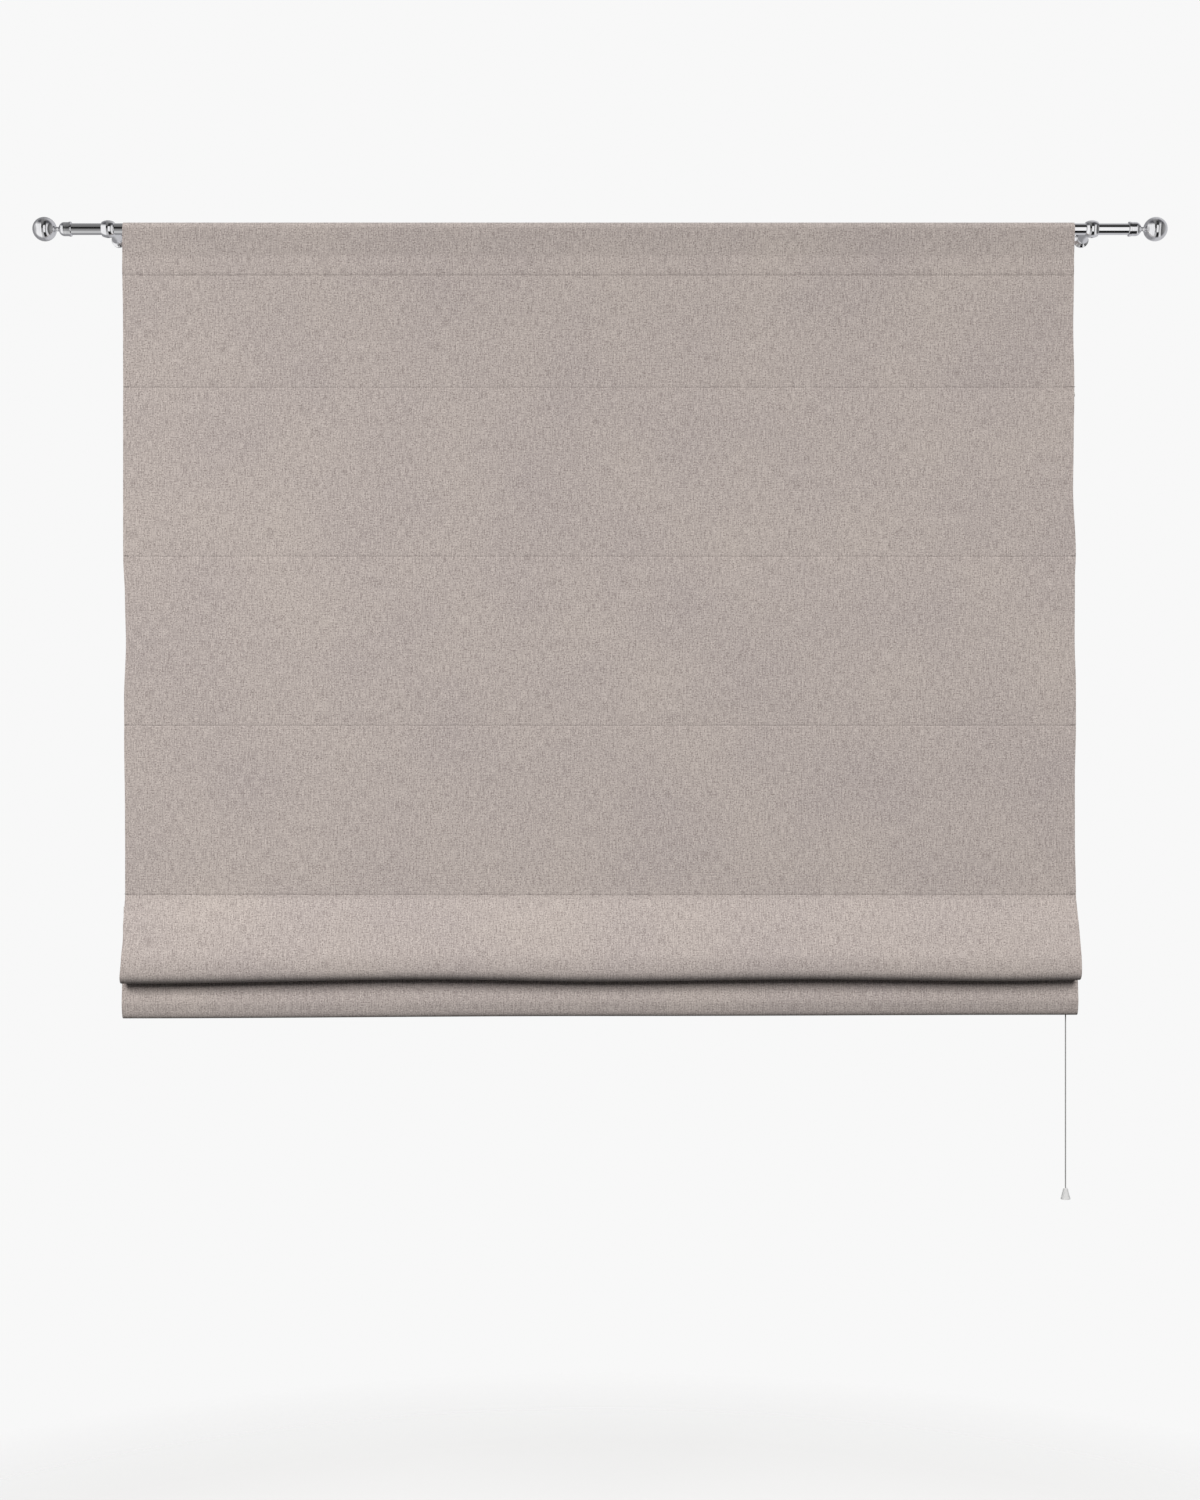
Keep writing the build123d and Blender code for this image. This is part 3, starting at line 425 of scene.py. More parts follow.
@dataclass(frozen=True)
class Metal:
    """A metal with its grain along one direction, a little wear and faint smudges."""

    name: str
    light: Colour
    shade: Colour
    roughness: tuple[float, float]
    along: Along = Along.NONE
    relief: float = 0.001 * MM
    knurl: float = 0.0
    knurl_relief: float = 0.15 * MM
    smudge: Point = (18.0, 18.0, 18.0)

    def material(self) -> bpy.types.Material:
        """Builds the metal's material.

        Returns:
            The material.
        """
        g = Graph(self.name)
        grain = g.noise(g.place(self.along.value), 1.0, 3.0)
        smudge = g.noise(g.place(self.smudge), 1.0, 4.0)
        tone = g.weigh(grain, 0.65, smudge, 0.35)
        height, distance = grain, self.relief
        if self.knurl:
            height, distance = g.math("ADD", grain, self.knurling(g)), self.knurl_relief
        return g.principled(
            Base_Color=g.ramp(tone, ((0.30, self.shade), (0.62, self.light))),
            Metallic=1.0,
            Roughness=g.level(tone, *self.roughness),
            Normal=g.bump(height, distance, 0.6),
        )

    def knurling(self, g: Graph) -> Socket:
        """Returns crossed slanted grooves.

        Args:
            g: The material's tree.

        Returns:
            The grooves' height, from 0 to 1.
        """
        sides = []
        for lean in (1.0, -1.0):
            split = g.add("SeparateXYZ", Vector=g.place((1.0 / self.knurl,) * 3))
            leaning = g.math("MULTIPLY", split.outputs[2], lean)
            sides.append(g.ridges(g.math("ADD", split.outputs[1], leaning)))
        return g.math("MULTIPLY", *sides)


@dataclass(frozen=True)
class Plastic:
    """A moulded plastic with a fine skin texture, soft flow marks and slight yellowing."""

    name: str
    light: Colour
    shade: Colour
    roughness: tuple[float, float]
    relief: float = 0.02 * MM
    soft: float = 0.0
    skin: Point = (900.0, 900.0, 900.0)
    flow: Point = (60.0, 60.0, 25.0)

    def material(self) -> bpy.types.Material:
        """Builds the plastic's material.

        Returns:
            The material.
        """
        g = Graph(self.name)
        skin = g.noise(g.place(self.skin), 1.0, 2.0)
        flow = g.noise(g.place(self.flow), 1.0, 4.0)
        return g.principled(
            Base_Color=g.ramp(flow, ((0.30, self.shade), (0.65, self.light))),
            Roughness=g.level(flow, *self.roughness),
            Subsurface_Weight=self.soft,
            Subsurface_Scale=1.5 * MM,
            Normal=g.bump(skin, self.relief, 0.5),
        )


@dataclass(frozen=True)
class PlanedWood:
    """A planed softwood lath: long grain with darker latewood lines and open pores."""

    name: str = "planed_wood"
    early: Colour = (0.66, 0.47, 0.28)
    late: Colour = (0.42, 0.26, 0.13)
    lines: Point = (3.0, 260.0, 260.0)
    pores: Point = (90.0, 2600.0, 2600.0)
    relief: float = 0.05 * MM

    def material(self) -> bpy.types.Material:
        """Builds the wood's material.

        Returns:
            The material.
        """
        g = Graph(self.name)
        lines = g.noise(g.place(self.lines), 1.0, 5.0)
        pores = g.noise(g.place(self.pores), 1.0, 2.0)
        tone = g.weigh(lines, 0.8, pores, 0.2)
        return g.principled(
            Base_Color=g.ramp(tone, ((0.38, self.late), (0.58, self.early))),
            Roughness=g.level(pores, 0.55, 0.78),
            Normal=g.bump(tone, self.relief, 0.7),
        )


METALS = {
    "chrome": Metal("polished_chrome", (0.90, 0.90, 0.91), (0.78, 0.78, 0.80), (0.03, 0.10), Along.POLE),
    "satin_steel": Metal(
        "turned_satin_steel", (0.94, 0.94, 0.95), (0.66, 0.66, 0.68), (0.06, 0.18), Along.RINGS, 0.04 * MM
    ),
    "zinc_plate": Metal("zinc_plate", (0.66, 0.67, 0.68), (0.46, 0.47, 0.49), (0.25, 0.45)),
    "black_screw": Metal("blackened_steel", (0.10, 0.10, 0.11), (0.03, 0.03, 0.035), (0.30, 0.50)),
    "brass": Metal("knurled_brass", (0.74, 0.56, 0.26), (0.50, 0.35, 0.13), (0.25, 0.45), knurl=0.25 * MM),
    "bright_brass": Metal("bright_brass", (0.86, 0.68, 0.36), (0.68, 0.50, 0.22), (0.12, 0.28)),
    "aluminium": Metal("mill_aluminium", (0.80, 0.80, 0.81), (0.60, 0.61, 0.62), (0.28, 0.50), Along.POLE),
}

PLASTICS = {
    "glassfibre": Plastic("glass_fibre", (0.80, 0.79, 0.72), (0.66, 0.64, 0.56), (0.35, 0.55), 0.05 * MM),
    "white_plastic": Plastic("white_plastic", (0.86, 0.86, 0.84), (0.76, 0.76, 0.74), (0.18, 0.34)),
    "clear_plastic": Plastic(
        "milky_plastic", (0.84, 0.86, 0.87), (0.70, 0.73, 0.75), (0.10, 0.24), soft=0.25
    ),
    "tassel_plastic": Plastic("tassel_plastic", (0.80, 0.81, 0.82), (0.66, 0.67, 0.68), (0.25, 0.42)),
    "lock_plastic": Plastic("lock_plastic", (0.80, 0.80, 0.78), (0.70, 0.70, 0.68), (0.35, 0.55), 0.04 * MM),
    "nylon": Plastic("nylon", (0.84, 0.84, 0.80), (0.74, 0.73, 0.68), (0.30, 0.50), soft=0.2),
}

CORD = BraidedCord("braided_cord", grey(0.38), grey(0.23), 0.5 * MM)
THREAD = BraidedCord("thread", (0.30, 0.26, 0.25), (0.16, 0.14, 0.13), 0.3 * MM)
DARK_THREAD = BraidedCord("dark_thread", (0.20, 0.18, 0.17), (0.10, 0.09, 0.09), 0.3 * MM)


@dataclass(frozen=True)
class Finishes:
    """Every finish of the blind, built once."""

    cloth: bpy.types.Material
    tape: bpy.types.Material
    cord: bpy.types.Material
    thread: bpy.types.Material
    dark_thread: bpy.types.Material
    by_slot: dict[str, bpy.types.Material]

    @classmethod
    def build(cls) -> Finishes:
        """Builds the materials for new pieces and for the model's own slots.

        Returns:
            The finishes.
        """
        cord = CORD.material()
        by_slot = {key: finish.material() for key, finish in {**METALS, **PLASTICS}.items()}
        by_slot |= {"lath_wood": PlanedWood().material(), "cord": cord}
        return cls(
            cloth=WovenCloth().material(),
            tape=WovenTape().material(),
            cord=cord,
            thread=THREAD.material(),
            dark_thread=DARK_THREAD.material(),
            by_slot=by_slot,
        )


# ---------------------------------------------------------------- mesh building


def settle(piece: bpy.types.Object, body: Body, node: str = "") -> None:
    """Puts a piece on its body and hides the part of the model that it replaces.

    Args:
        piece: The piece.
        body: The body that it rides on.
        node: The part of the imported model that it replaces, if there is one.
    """
    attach(piece, body.value)
    if node:
        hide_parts(node)


def make_object(
    name: str,
    vertices: np.ndarray,
    faces: Sequence[Sequence[int]],
    material: bpy.types.Material,
    uv: np.ndarray | None = None,
    sharp: float = 40.0,
) -> bpy.types.Object:
    """Makes a smooth-shaded mesh object.

    Args:
        name: The piece's name.
        vertices: Points, one row each.
        faces: Vertex numbers of each face.
        material: The piece's material.
        uv: Flat coordinates of each vertex.
        sharp: The angle in degrees above which an edge stays sharp.

    Returns:
        The object, linked to the scene.
    """
    mesh = bpy.data.meshes.new(name)
    mesh.from_pydata([tuple(v) for v in vertices], [], [tuple(int(i) for i in f) for f in faces])
    mesh.polygons.foreach_set("use_smooth", [True] * len(mesh.polygons))
    mesh.set_sharp_from_angle(angle=math.radians(sharp))
    if uv is not None:
        layer = mesh.uv_layers.new(name="flat")
        corners = np.zeros(len(mesh.loops), dtype=np.int32)
        mesh.loops.foreach_get("vertex_index", corners)
        layer.data.foreach_set("uv", uv[corners].astype(np.float32).ravel())
    mesh.materials.append(material)
    piece = bpy.data.objects.new(name, mesh)
    bpy.context.scene.collection.objects.link(piece)
    return piece


def grid_faces(rows: int, columns: int, first: int = 0, flip: bool = False) -> list[tuple[int, ...]]:
    """Returns the quads of a grid whose vertices run row by row.

    Args:
        rows: How many rows of vertices there are.
        columns: How many vertices are in a row.
        first: The first vertex's number.
        flip: True to turn the quads over.

    Returns:
        The quads' vertex numbers.
    """
    faces = []
    for row in range(rows - 1):
        for column in range(columns - 1):
            corner = first + row * columns + column
            quad = (corner, corner + 1, corner + columns + 1, corner + columns)
            faces.append(quad[::-1] if flip else quad)
    return faces


def tube_faces(rings: int, sides: int, first: int = 0) -> list[tuple[int, ...]]:
    """Returns the faces of a capped tube whose vertices run ring by ring.

    Args:
        rings: How many rings of vertices there are.
        sides: How many vertices are in a ring.
        first: The first vertex's number.

    Returns:
        The faces' vertex numbers.
    """
    faces: list[tuple[int, ...]] = []
    for row in range(rings - 1):
        for k in range(sides):
            here = first + row * sides + k
            after = first + row * sides + (k + 1) % sides
            faces.append((here, here + sides, after + sides, after))
    last = first + (rings - 1) * sides
    faces.append(tuple(first + k for k in range(sides)))
    faces.append(tuple(last + k for k in range(sides - 1, -1, -1)))
    return faces


def closed_cloth(
    name: str,
    middle: np.ndarray,
    front: np.ndarray,
    back: np.ndarray,
    flat: np.ndarray,
    material: bpy.types.Material,
) -> bpy.types.Object:
    """Makes a cloth with two faces and an edge all round.

    Args:
        name: The piece's name.
        middle: The middle surface, rows by columns by 3. Columns run along +X, rows along the cloth's length.
        front: How far the face side lies from the middle, rows by columns.
        back: How far the other side lies from it, rows by columns.
        flat: Flat coordinates in metres, rows by columns by 2.
        material: The cloth's material.

    Returns:
        The object.
    """
    rows, columns = middle.shape[:2]
    down = np.gradient(middle, axis=0)
    across = np.gradient(middle, axis=1)
    normal = np.cross(down, across)
    normal /= np.linalg.norm(normal, axis=2, keepdims=True)
    face = (middle + normal * front[..., None]).reshape(-1, 3)
    other = (middle - normal * back[..., None]).reshape(-1, 3)
    count = rows * columns
    faces = grid_faces(rows, columns, 0, flip=True) + grid_faces(rows, columns, count)
    loop = list(range(columns))
    loop += [r * columns + columns - 1 for r in range(1, rows)]
    loop += [(rows - 1) * columns + c for c in range(columns - 2, -1, -1)]
    loop += [r * columns for r in range(rows - 2, 0, -1)]
    for here, after in zip(loop, loop[1:] + loop[:1]):
        faces.append((here, after, after + count, here + count))
    uv = flat.reshape(-1, 2)
    return make_object(name, np.vstack([face, other]), faces, material, np.vstack([uv, uv]))


def distances(path: np.ndarray) -> np.ndarray:
    """Returns each point's distance along a path."""
    return np.concatenate([[0.0], np.cumsum(np.linalg.norm(np.diff(path, axis=0), axis=1))])


def rounded_path(corners: Sequence[tuple[float, float]], radii: Sequence[float], step: float) -> np.ndarray:
    """Rounds the corners of a path and divides it evenly.

    Args:
        corners: Points y, z.
        radii: One radius for each inner corner.
        step: The distance between the points of the result.

    Returns:
        Points y, z at that distance along the path.
    """
    arc_step, fewest_parts = 0.12, 3
    line = [np.array(corners[0])]
    for before, corner, after, radius in zip(corners, corners[1:], corners[2:], radii):
        before, corner, after = np.array(before), np.array(corner), np.array(after)
        come = (corner - before) / np.linalg.norm(corner - before)
        leave = (after - corner) / np.linalg.norm(after - corner)
        turn = math.acos(float(np.clip(come @ leave, -1.0, 1.0)))
        reach = radius * math.tan(turn / 2)
        side = math.copysign(1.0, come[0] * leave[1] - come[1] * leave[0])
        centre = corner - come * reach + side * radius * np.array([-come[1], come[0]])
        start = corner - come * reach - centre
        parts = max(fewest_parts, math.ceil(turn / arc_step))
        for part in range(parts + 1):
            angle = side * turn * part / parts
            cosine, sine = math.cos(angle), math.sin(angle)
            spin = np.array([[cosine, -sine], [sine, cosine]])
            line.append(centre + spin @ start)
    line.append(np.array(corners[-1]))
    path = np.array(line)
    along = distances(path)
    at = np.linspace(0.0, along[-1], math.ceil(along[-1] / step) + 1)
    return np.stack([np.interp(at, along, path[:, k]) for k in range(2)], axis=1)


def ripple(x: np.ndarray, seed: int, shortest: float, longest: float) -> np.ndarray:
    """Returns a smooth wave of many lengths, from about -1 to 1, the same for the same seed.

    Args:
        x: Places in metres.
        seed: Which wave.
        shortest: The shortest wavelength in metres.
        longest: The longest wavelength in metres.

    Returns:
        The wave's height at each place.
    """
    count, swing = 6, 1.4
    random = np.random.default_rng(seed)
    wavelengths = np.geomspace(shortest, longest, count)
    phases = random.uniform(0.0, 2 * math.pi, count)
    waves = [np.sin(2 * math.pi * x / w + p) for w, p in zip(wavelengths, phases)]
    return np.sum(waves, axis=0) / math.sqrt(count) / swing


def ease(t: np.ndarray) -> np.ndarray:
    """Returns a share from 0 to 1, made level at both ends."""
    return t * t * (3 - 2 * t)


def smooth_between(x: np.ndarray, knots: Sequence[tuple[float, float]]) -> np.ndarray:
    """Returns a curve that passes smoothly through knots and is level at each one.

    Args:
        x: The places where the curve is wanted.
        knots: Rising places, each with its height.

    Returns:
        The curve's height at each place.
    """
    places, heights = np.array(knots).T
    index = np.clip(np.searchsorted(places, x) - 1, 0, len(places) - 2)
    t = np.clip((x - places[index]) / (places[index + 1] - places[index]), 0.0, 1.0)
    return heights[index] + (heights[index + 1] - heights[index]) * ease(t)


def tube(
    name: str, line: np.ndarray, radius: float, material: bpy.types.Material, sides: int = 10
) -> bpy.types.Object:
    """Makes a capped round tube along a line.

    Args:
        name: The piece's name.
        line: Points along its middle.
        radius: Its radius.
        material: Its material.
        sides: How many sides it has.

    Returns:
        The object.
    """
    tangent = np.gradient(line, axis=0)
    tangent /= np.linalg.norm(tangent, axis=1, keepdims=True)
    up, almost_up = np.array([0.0, 1.0, 0.0]), 0.9
    if abs(tangent[:, 1]).max() > almost_up:
        up = np.array([0.3, 0.2, 1.0])
    angles = np.arange(sides) * 2 * math.pi / sides
    rings = []
    for point, way in zip(line, tangent):
        side = np.cross(way, up)
        side /= np.linalg.norm(side)
        rise = np.cross(side, way)
        rings.append(point + radius * (np.outer(np.cos(angles), side) + np.outer(np.sin(angles), rise)))
    return make_object(name, np.vstack(rings), tube_faces(len(line), sides), material, sharp=60.0)


@dataclass
class StitchRow:
    """A row of lock stitches along X, each a small thread capsule half sunk in the cloth."""

    name: str
    z: float
    y: float
    start: float
    end: float
    pitch: float = 3.2 * MM
    length: float = 2.3 * MM
    radius: float = 0.28 * MM
    seed: int = 1
    sides: int = 6
    lean: float = 0.12  # in millimetres
    stations: Knots = ((-0.5, 0.25), (-0.3, 0.9), (0.0, 1.0), (0.3, 0.9), (0.5, 0.25))

    def build(
        self, material: bpy.types.Material, follow: Callable[[float], float] | None = None
    ) -> bpy.types.Object:
        """Builds the row as one mesh.

        Args:
            material: The thread's material.
            follow: An offset in Z at a place x, for a row on cloth that droops.

        Returns:
            The object.
        """
        random = np.random.default_rng(self.seed)
        angles = np.arange(self.sides) * 2 * math.pi / self.sides
        vertices: list[np.ndarray] = []
        faces: list[tuple[int, ...]] = []
        x = self.start + self.pitch / 2
        while x < self.end - self.pitch / 2:
            lift = follow(x) if follow else 0.0
            lean = random.uniform(-self.lean, self.lean) * MM
            faces += tube_faces(len(self.stations), self.sides, len(vertices) * self.sides)
            for share, width in self.stations:
                ring = np.zeros((self.sides, 3))
                ring[:, 0] = x + share * self.length
                ring[:, 1] = self.y + self.radius * width * np.cos(angles)
                ring[:, 2] = self.z + lift + share * lean + self.radius * width * np.sin(angles)
                vertices.append(ring)
            x += self.pitch
        return make_object(self.name, np.vstack(vertices), faces, material, sharp=70.0)


# ---------------------------------------------------------------- the frame's places


@dataclass(frozen=True)
class Layout:
    """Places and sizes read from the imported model, and what all stretches of the cloth share."""

    half_width: float
    cloth: float
    panel_y: float
    header_seam: float
    fold_top: float
    seams: tuple[float, ...]
    crease: float
    hem_bottom: float
    hem_front: float
    hem_back: float
    fold_front: float
    pole_radius: float
    lift: float
    forward: float = 2.3 * MM
    groove: float = 0.42 * MM
    groove_reach: float = 1.1 * MM
    edge_thinning: float = 0.25 * MM
    edge_reach: float = 1.2 * MM

    @classmethod
    def read(cls, frame: dict) -> Layout:
        """Reads the layout from the frame.


        Returns:
            The layout.
        """
        panel_low, panel_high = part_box("fabric_panel")
        fold_low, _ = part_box("fabric_fold")
        bar_low, bar_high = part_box("weight_bar")
        pole_low, pole_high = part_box("pole")
        flange = 4.0 * MM
        seams = tuple(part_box(f"rod_tape_{n}")[1].z - flange for n in range(1, 6))
        cloth = panel_high.y - panel_low.y
        slack = 0.3 * MM
        return cls(
            half_width=panel_high.x,
            cloth=cloth,
            panel_y=(panel_low.y + panel_high.y) / 2,
            header_seam=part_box("fabric_header")[0].z,
            fold_top=seams[3],
            seams=seams,
            crease=seams[4] + flange,
            hem_bottom=fold_low.z,
            hem_front=bar_low.y - slack - cloth / 2,
            hem_back=bar_high.y + slack + cloth / 2,
            fold_front=fold_low.y + cloth / 2,
            pole_radius=(pole_high.z - pole_low.z) / 2,
            lift=next(j for j in frame["joints"] if j["name"] == "lift")["range_m"][1],
        )

    def columns(self) -> np.ndarray:
        """Spreads columns over the cloth's width, closer together at its two edges.

        Returns:
            The places, from left to right.
        """
        half, step, margin = self.half_width, 10 * MM, 12 * MM
        inner = np.linspace(-half + margin, half - margin, round(2 * half / step))
        edge = np.array([0.0, 0.5, 1.5, 3.5, 7.0]) * MM
        return np.concatenate([-half + edge, inner, (half - edge)[::-1]])

    def soft_edge(self, x: np.ndarray) -> np.ndarray:
        """Returns how much thinner each face of the cloth is at the places x, near its two side edges."""
        return self.edge_thinning * np.exp(-(self.half_width - np.abs(x)) / self.edge_reach)

    def face(self, x: np.ndarray, gap: np.ndarray) -> np.ndarray:
        """Returns how far the cloth's face lies from its middle, drawn in along each seam.

        Args:
            x: The places of the columns.
            gap: Each row's distance from the nearest seam.

        Returns:
            The distances, rows by columns.
        """
        sunk = self.groove * np.exp(-((gap / self.groove_reach) ** 2))
        return self.cloth / 2 - sunk[:, None] - self.soft_edge(x)[None, :]


def in_mm(*knots: tuple[float, float]) -> Knots:
    """Returns knots whose second number was given in millimetres, in metres."""
    return tuple((place, shift * MM) for place, shift in knots)


@dataclass(frozen=True)
class Edges:
    """How far the cloth's two side edges stray from straight, as knots of height and shift towards +X."""

    left: Knots
    right: Knots
    half_width: float = 0.8
    reach: float = 0.16

    def shift(self, x: np.ndarray, z: np.ndarray) -> np.ndarray:
        """Returns the shift towards +X of each point, rows by columns.

        Args:
            x: The places of the columns.
            z: The heights of the rows.

        Returns:
            The shifts.
        """
        left, right = (
            smooth_between(-z, [(-height, dx) for height, dx in side]) for side in (self.left, self.right)
        )
        near = [np.clip(1 - (self.half_width + side * x) / self.reach, 0.0, 1.0) for side in (1, -1)]
        return left[:, None] * ease(near[0])[None, :] + right[:, None] * ease(near[1])[None, :]


PANEL_EDGES = Edges(
    left=in_mm(
        (0.02, 0.0), (-0.066, -2.0), (-0.14, -1.0), (-0.453, -1.0), (-0.547, -1.0), (-0.62, 2.2),
        (-0.696, 3.8), (-0.79, 0.7), (-0.85, 0.7), (-0.99, 2.2), (-1.05, 2.5), (-1.118, 2.2),
    ),
    right=in_mm(
        (0.02, -4.4), (-0.078, -4.4), (-0.16, -5.3), (-0.266, -3.2), (-0.36, -4.5), (-0.437, -5.4),
        (-0.547, -0.6), (-0.585, -2.4), (-0.69, -2.9), (-0.77, -0.8), (-0.834, -0.5), (-0.92, -2.4),
        (-1.03, -2.4), (-1.118, -0.4),
    ),
)

FOLD_EDGES = Edges(
    left=in_mm((-1.118, 2.2), (-1.16, 3.0), (-1.19, 5.0), (-1.22, 4.2), (-1.262, 1.0)),
    right=in_mm((-1.118, -0.4), (-1.19, 0.0), (-1.262, 0.6)),
)

HEM_EDGES = Edges(
    left=in_mm((-1.13, 0.0), (-1.262, -1.5), (-1.33, -1.5)),
    right=in_mm((-1.13, 0.0), (-1.262, 1.6), (-1.33, 1.6)),
)


def spread_over(x: np.ndarray, path: np.ndarray) -> tuple[np.ndarray, np.ndarray]:
    """Sweeps a path of y, z points along x.

    Args:
        x: Places along X.
        path: The points of the section.

    Returns:
        The surface, rows by columns by 3, and each row's distance along the path, rows by columns.
    """
    surface = np.zeros((len(path), len(x), 3))
    surface[..., 0] = x[None, :]
    surface[..., 1:] = path[:, None, :]
    return surface, np.repeat(distances(path)[:, None], len(x), axis=1)


def dress(frame: dict, finishes: Finishes) -> None:
    """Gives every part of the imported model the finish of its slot.

    Args:
        finishes: The blind's finishes.
    """
    slots = {part["node"]: part["material_slot"] for part in frame["record"]["subparts"]}
    for node, piece in frame["nodes"].items():
        finish = finishes.by_slot.get(slots[node])
        if finish is not None:
            piece.data.materials.clear()
            piece.data.materials.append(finish)
            LOG.info("%s is finished in %s", node, finish.name)


# ---------------------------------------------------------------- cloth


@dataclass
class Pocket:
    """The cloth round the pole and the lath, down to the stitched seam."""

    layout: Layout
    finishes: Finishes
    step: float = 3.5 * MM
    pole_room: float = 0.3 * MM
    lath_room: float = 3.3 * MM
    overlap: float = 5.0 * MM
    shoulder: float = -46.0 * MM
    waist: float = -74.2 * MM
    slack: float = 0.5 * MM
    slack_height: float = -14 * MM
    inset: float = 11 * MM
    seam_radius: float = 2.5 * MM
    shoulder_radius: float = 20 * MM
    turned_radius: float = 1.5 * MM
    round_points: int = 25

    def path(self) -> np.ndarray:
        """Draws the section, from the seam at the front, over the pole and down the back.

        Returns:
            Points y, z.
        """
        at = self.layout
        middle, seam = at.panel_y, at.header_seam
        round_pole = at.pole_radius + self.pole_room + at.cloth / 2
        arc = [
            (middle - round_pole * math.cos(a), round_pole * math.sin(a))
            for a in np.linspace(0.0, math.pi, self.round_points)
        ]
        before = middle - self.lath_room
        front = rounded_path(
            ((middle - at.forward, seam), (before, self.waist), (before, self.shoulder), arc[0]),
            (self.seam_radius, self.shoulder_radius),
            self.step,
        )
        past = middle + self.lath_room
        behind = middle - at.forward + at.cloth * 1.1
        back = rounded_path(
            (
                arc[-1],
                (past, self.shoulder),
                (past, self.waist),
                (behind, seam - 0.6 * MM),
                (behind, seam - self.overlap),
            ),
            (self.shoulder_radius, self.seam_radius, self.turned_radius),
            self.step,
        )
        return np.vstack([front[:-1], np.array(arc), back[1:]])

    def build(self) -> list[bpy.types.Object]:
        """Builds the pocket and its line of stitches.

        Returns:
            The new pieces.
        """
        at = self.layout
        x, path = at.columns(), self.path()
        surface, along = spread_over(x, path)
        heights = [at.header_seam, self.shoulder, self.slack_height, 0.0]
        loose = np.interp(path[:, 1], heights, [0.0, 0.25, 1.0, 0.0])
        side = np.sign(path[:, 0] - at.panel_y)
        give = loose[:, None] * ripple(x, 11, 0.09, 0.9)[None, :] * self.slack
        surface[..., 1] += np.abs(give) * side[:, None]
        half = np.full(along.shape, at.cloth / 2)
        flat = np.stack([surface[..., 0], at.header_seam + along], axis=2)
        surface[..., 0] += PANEL_EDGES.shift(x, path[:, 1])
        piece = closed_cloth("cloth_pocket", surface, half, half, flat, self.finishes.cloth)
        settle(piece, Body.HEADRAIL, "fabric_header")
        seam = StitchRow(
            "stitches_pocket",
            at.header_seam + 0.6 * MM,
            at.panel_y - at.forward - at.cloth / 2 - 0.22 * MM,
            -at.half_width + self.inset,
            at.half_width - self.inset,
            seed=3,
        ).build(self.finishes.thread)
        settle(seam, Body.HEADRAIL)
        return [piece, seam]


@dataclass
class Panel:
    """The flat cloth between the header's seam and the fold, with a groove at each rod's seam."""

    layout: Layout
    finishes: Finishes
    step: float = 9.0 * MM
    near_seam: tuple[float, ...] = (0.7, 1.5, 3.0, 5.0)  # in millimetres
    straightens_over: float = 0.12
    bulge: float = 0.9  # in millimetres
    bulge_reach: float = 0.06
    bulge_power: float = 0.7
    waves: tuple[float, float] = (0.7, 0.4)
    pucker_reach: float = 0.012
    pucker: float = 0.22  # in millimetres
    turning: float = 26.0 * MM
    turning_slope: float = 1.5 * MM
    turning_rise: float = 0.35 * MM

    def rows(self) -> np.ndarray:
        """Spreads rows over the panel, closer together at each seam.

        Returns:
            The heights, from the top down.
        """
        at = self.layout
        count = round((at.header_seam - at.fold_top) / self.step)
        even = np.linspace(at.header_seam, at.fold_top, count)
        near = [z + side * d * MM for z in at.seams[:4] for side in (-1, 1) for d in (0.0, *self.near_seam)]
        near += [at.header_seam - d * MM for d in self.near_seam]
        rows = np.unique(np.round(np.concatenate([even, near]), 5))[::-1]
        return rows[(rows <= at.header_seam + 1e-6) & (rows >= at.fold_top - 1e-6)]

    def build(self) -> list[bpy.types.Object]:
        """Builds the panel.

        Returns:
            The new piece, alone in a list.
        """
        at = self.layout
        x, rows = at.columns(), self.rows()
        surface, _ = spread_over(x, np.stack([np.full(len(rows), at.panel_y), rows], axis=1))
        lines = np.array([at.header_seam, *at.seams[:4]])
        gap = np.abs(rows[:, None] - lines[None, :]).min(axis=1)
        between = np.clip(gap / self.bulge_reach, 0.0, 1.0) ** self.bulge_power
        below = np.clip((at.header_seam - rows) / self.straightens_over, 0.0, 1.0)
        hanging = (1 - ease(below)) * at.forward
        across = ripple(x, 21, 0.25, 1.6)[None, :] * self.waves[0]
        down = ripple(rows, 22, 0.2, 0.9)[:, None] * self.waves[1]
        surface[..., 1] -= between[:, None] * (self.bulge + self.bulge * (across + down)) * MM
        puckers = np.exp(-gap / self.pucker_reach)[:, None] * ripple(x, 23, 0.024, 0.08)[None, :]
        surface[..., 1] -= np.abs(puckers) * self.pucker * MM + hanging[:, None]
        edge = at.half_width - np.abs(x)
        turned = np.clip((self.turning - edge) / self.turning_slope, 0.0, 1.0) * self.turning_rise
        back = at.cloth / 2 + np.repeat(turned[None, :], len(rows), axis=0) - at.soft_edge(x)[None, :]
        flat = np.stack([surface[..., 0], surface[..., 2]], axis=2)
        surface[..., 0] += PANEL_EDGES.shift(x, rows)
        piece = closed_cloth("cloth_panel", surface, at.face(x, gap), back, flat, self.finishes.cloth)
        settle(piece, Body.HEADRAIL, "fabric_panel")
        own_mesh(piece)
        return [piece]


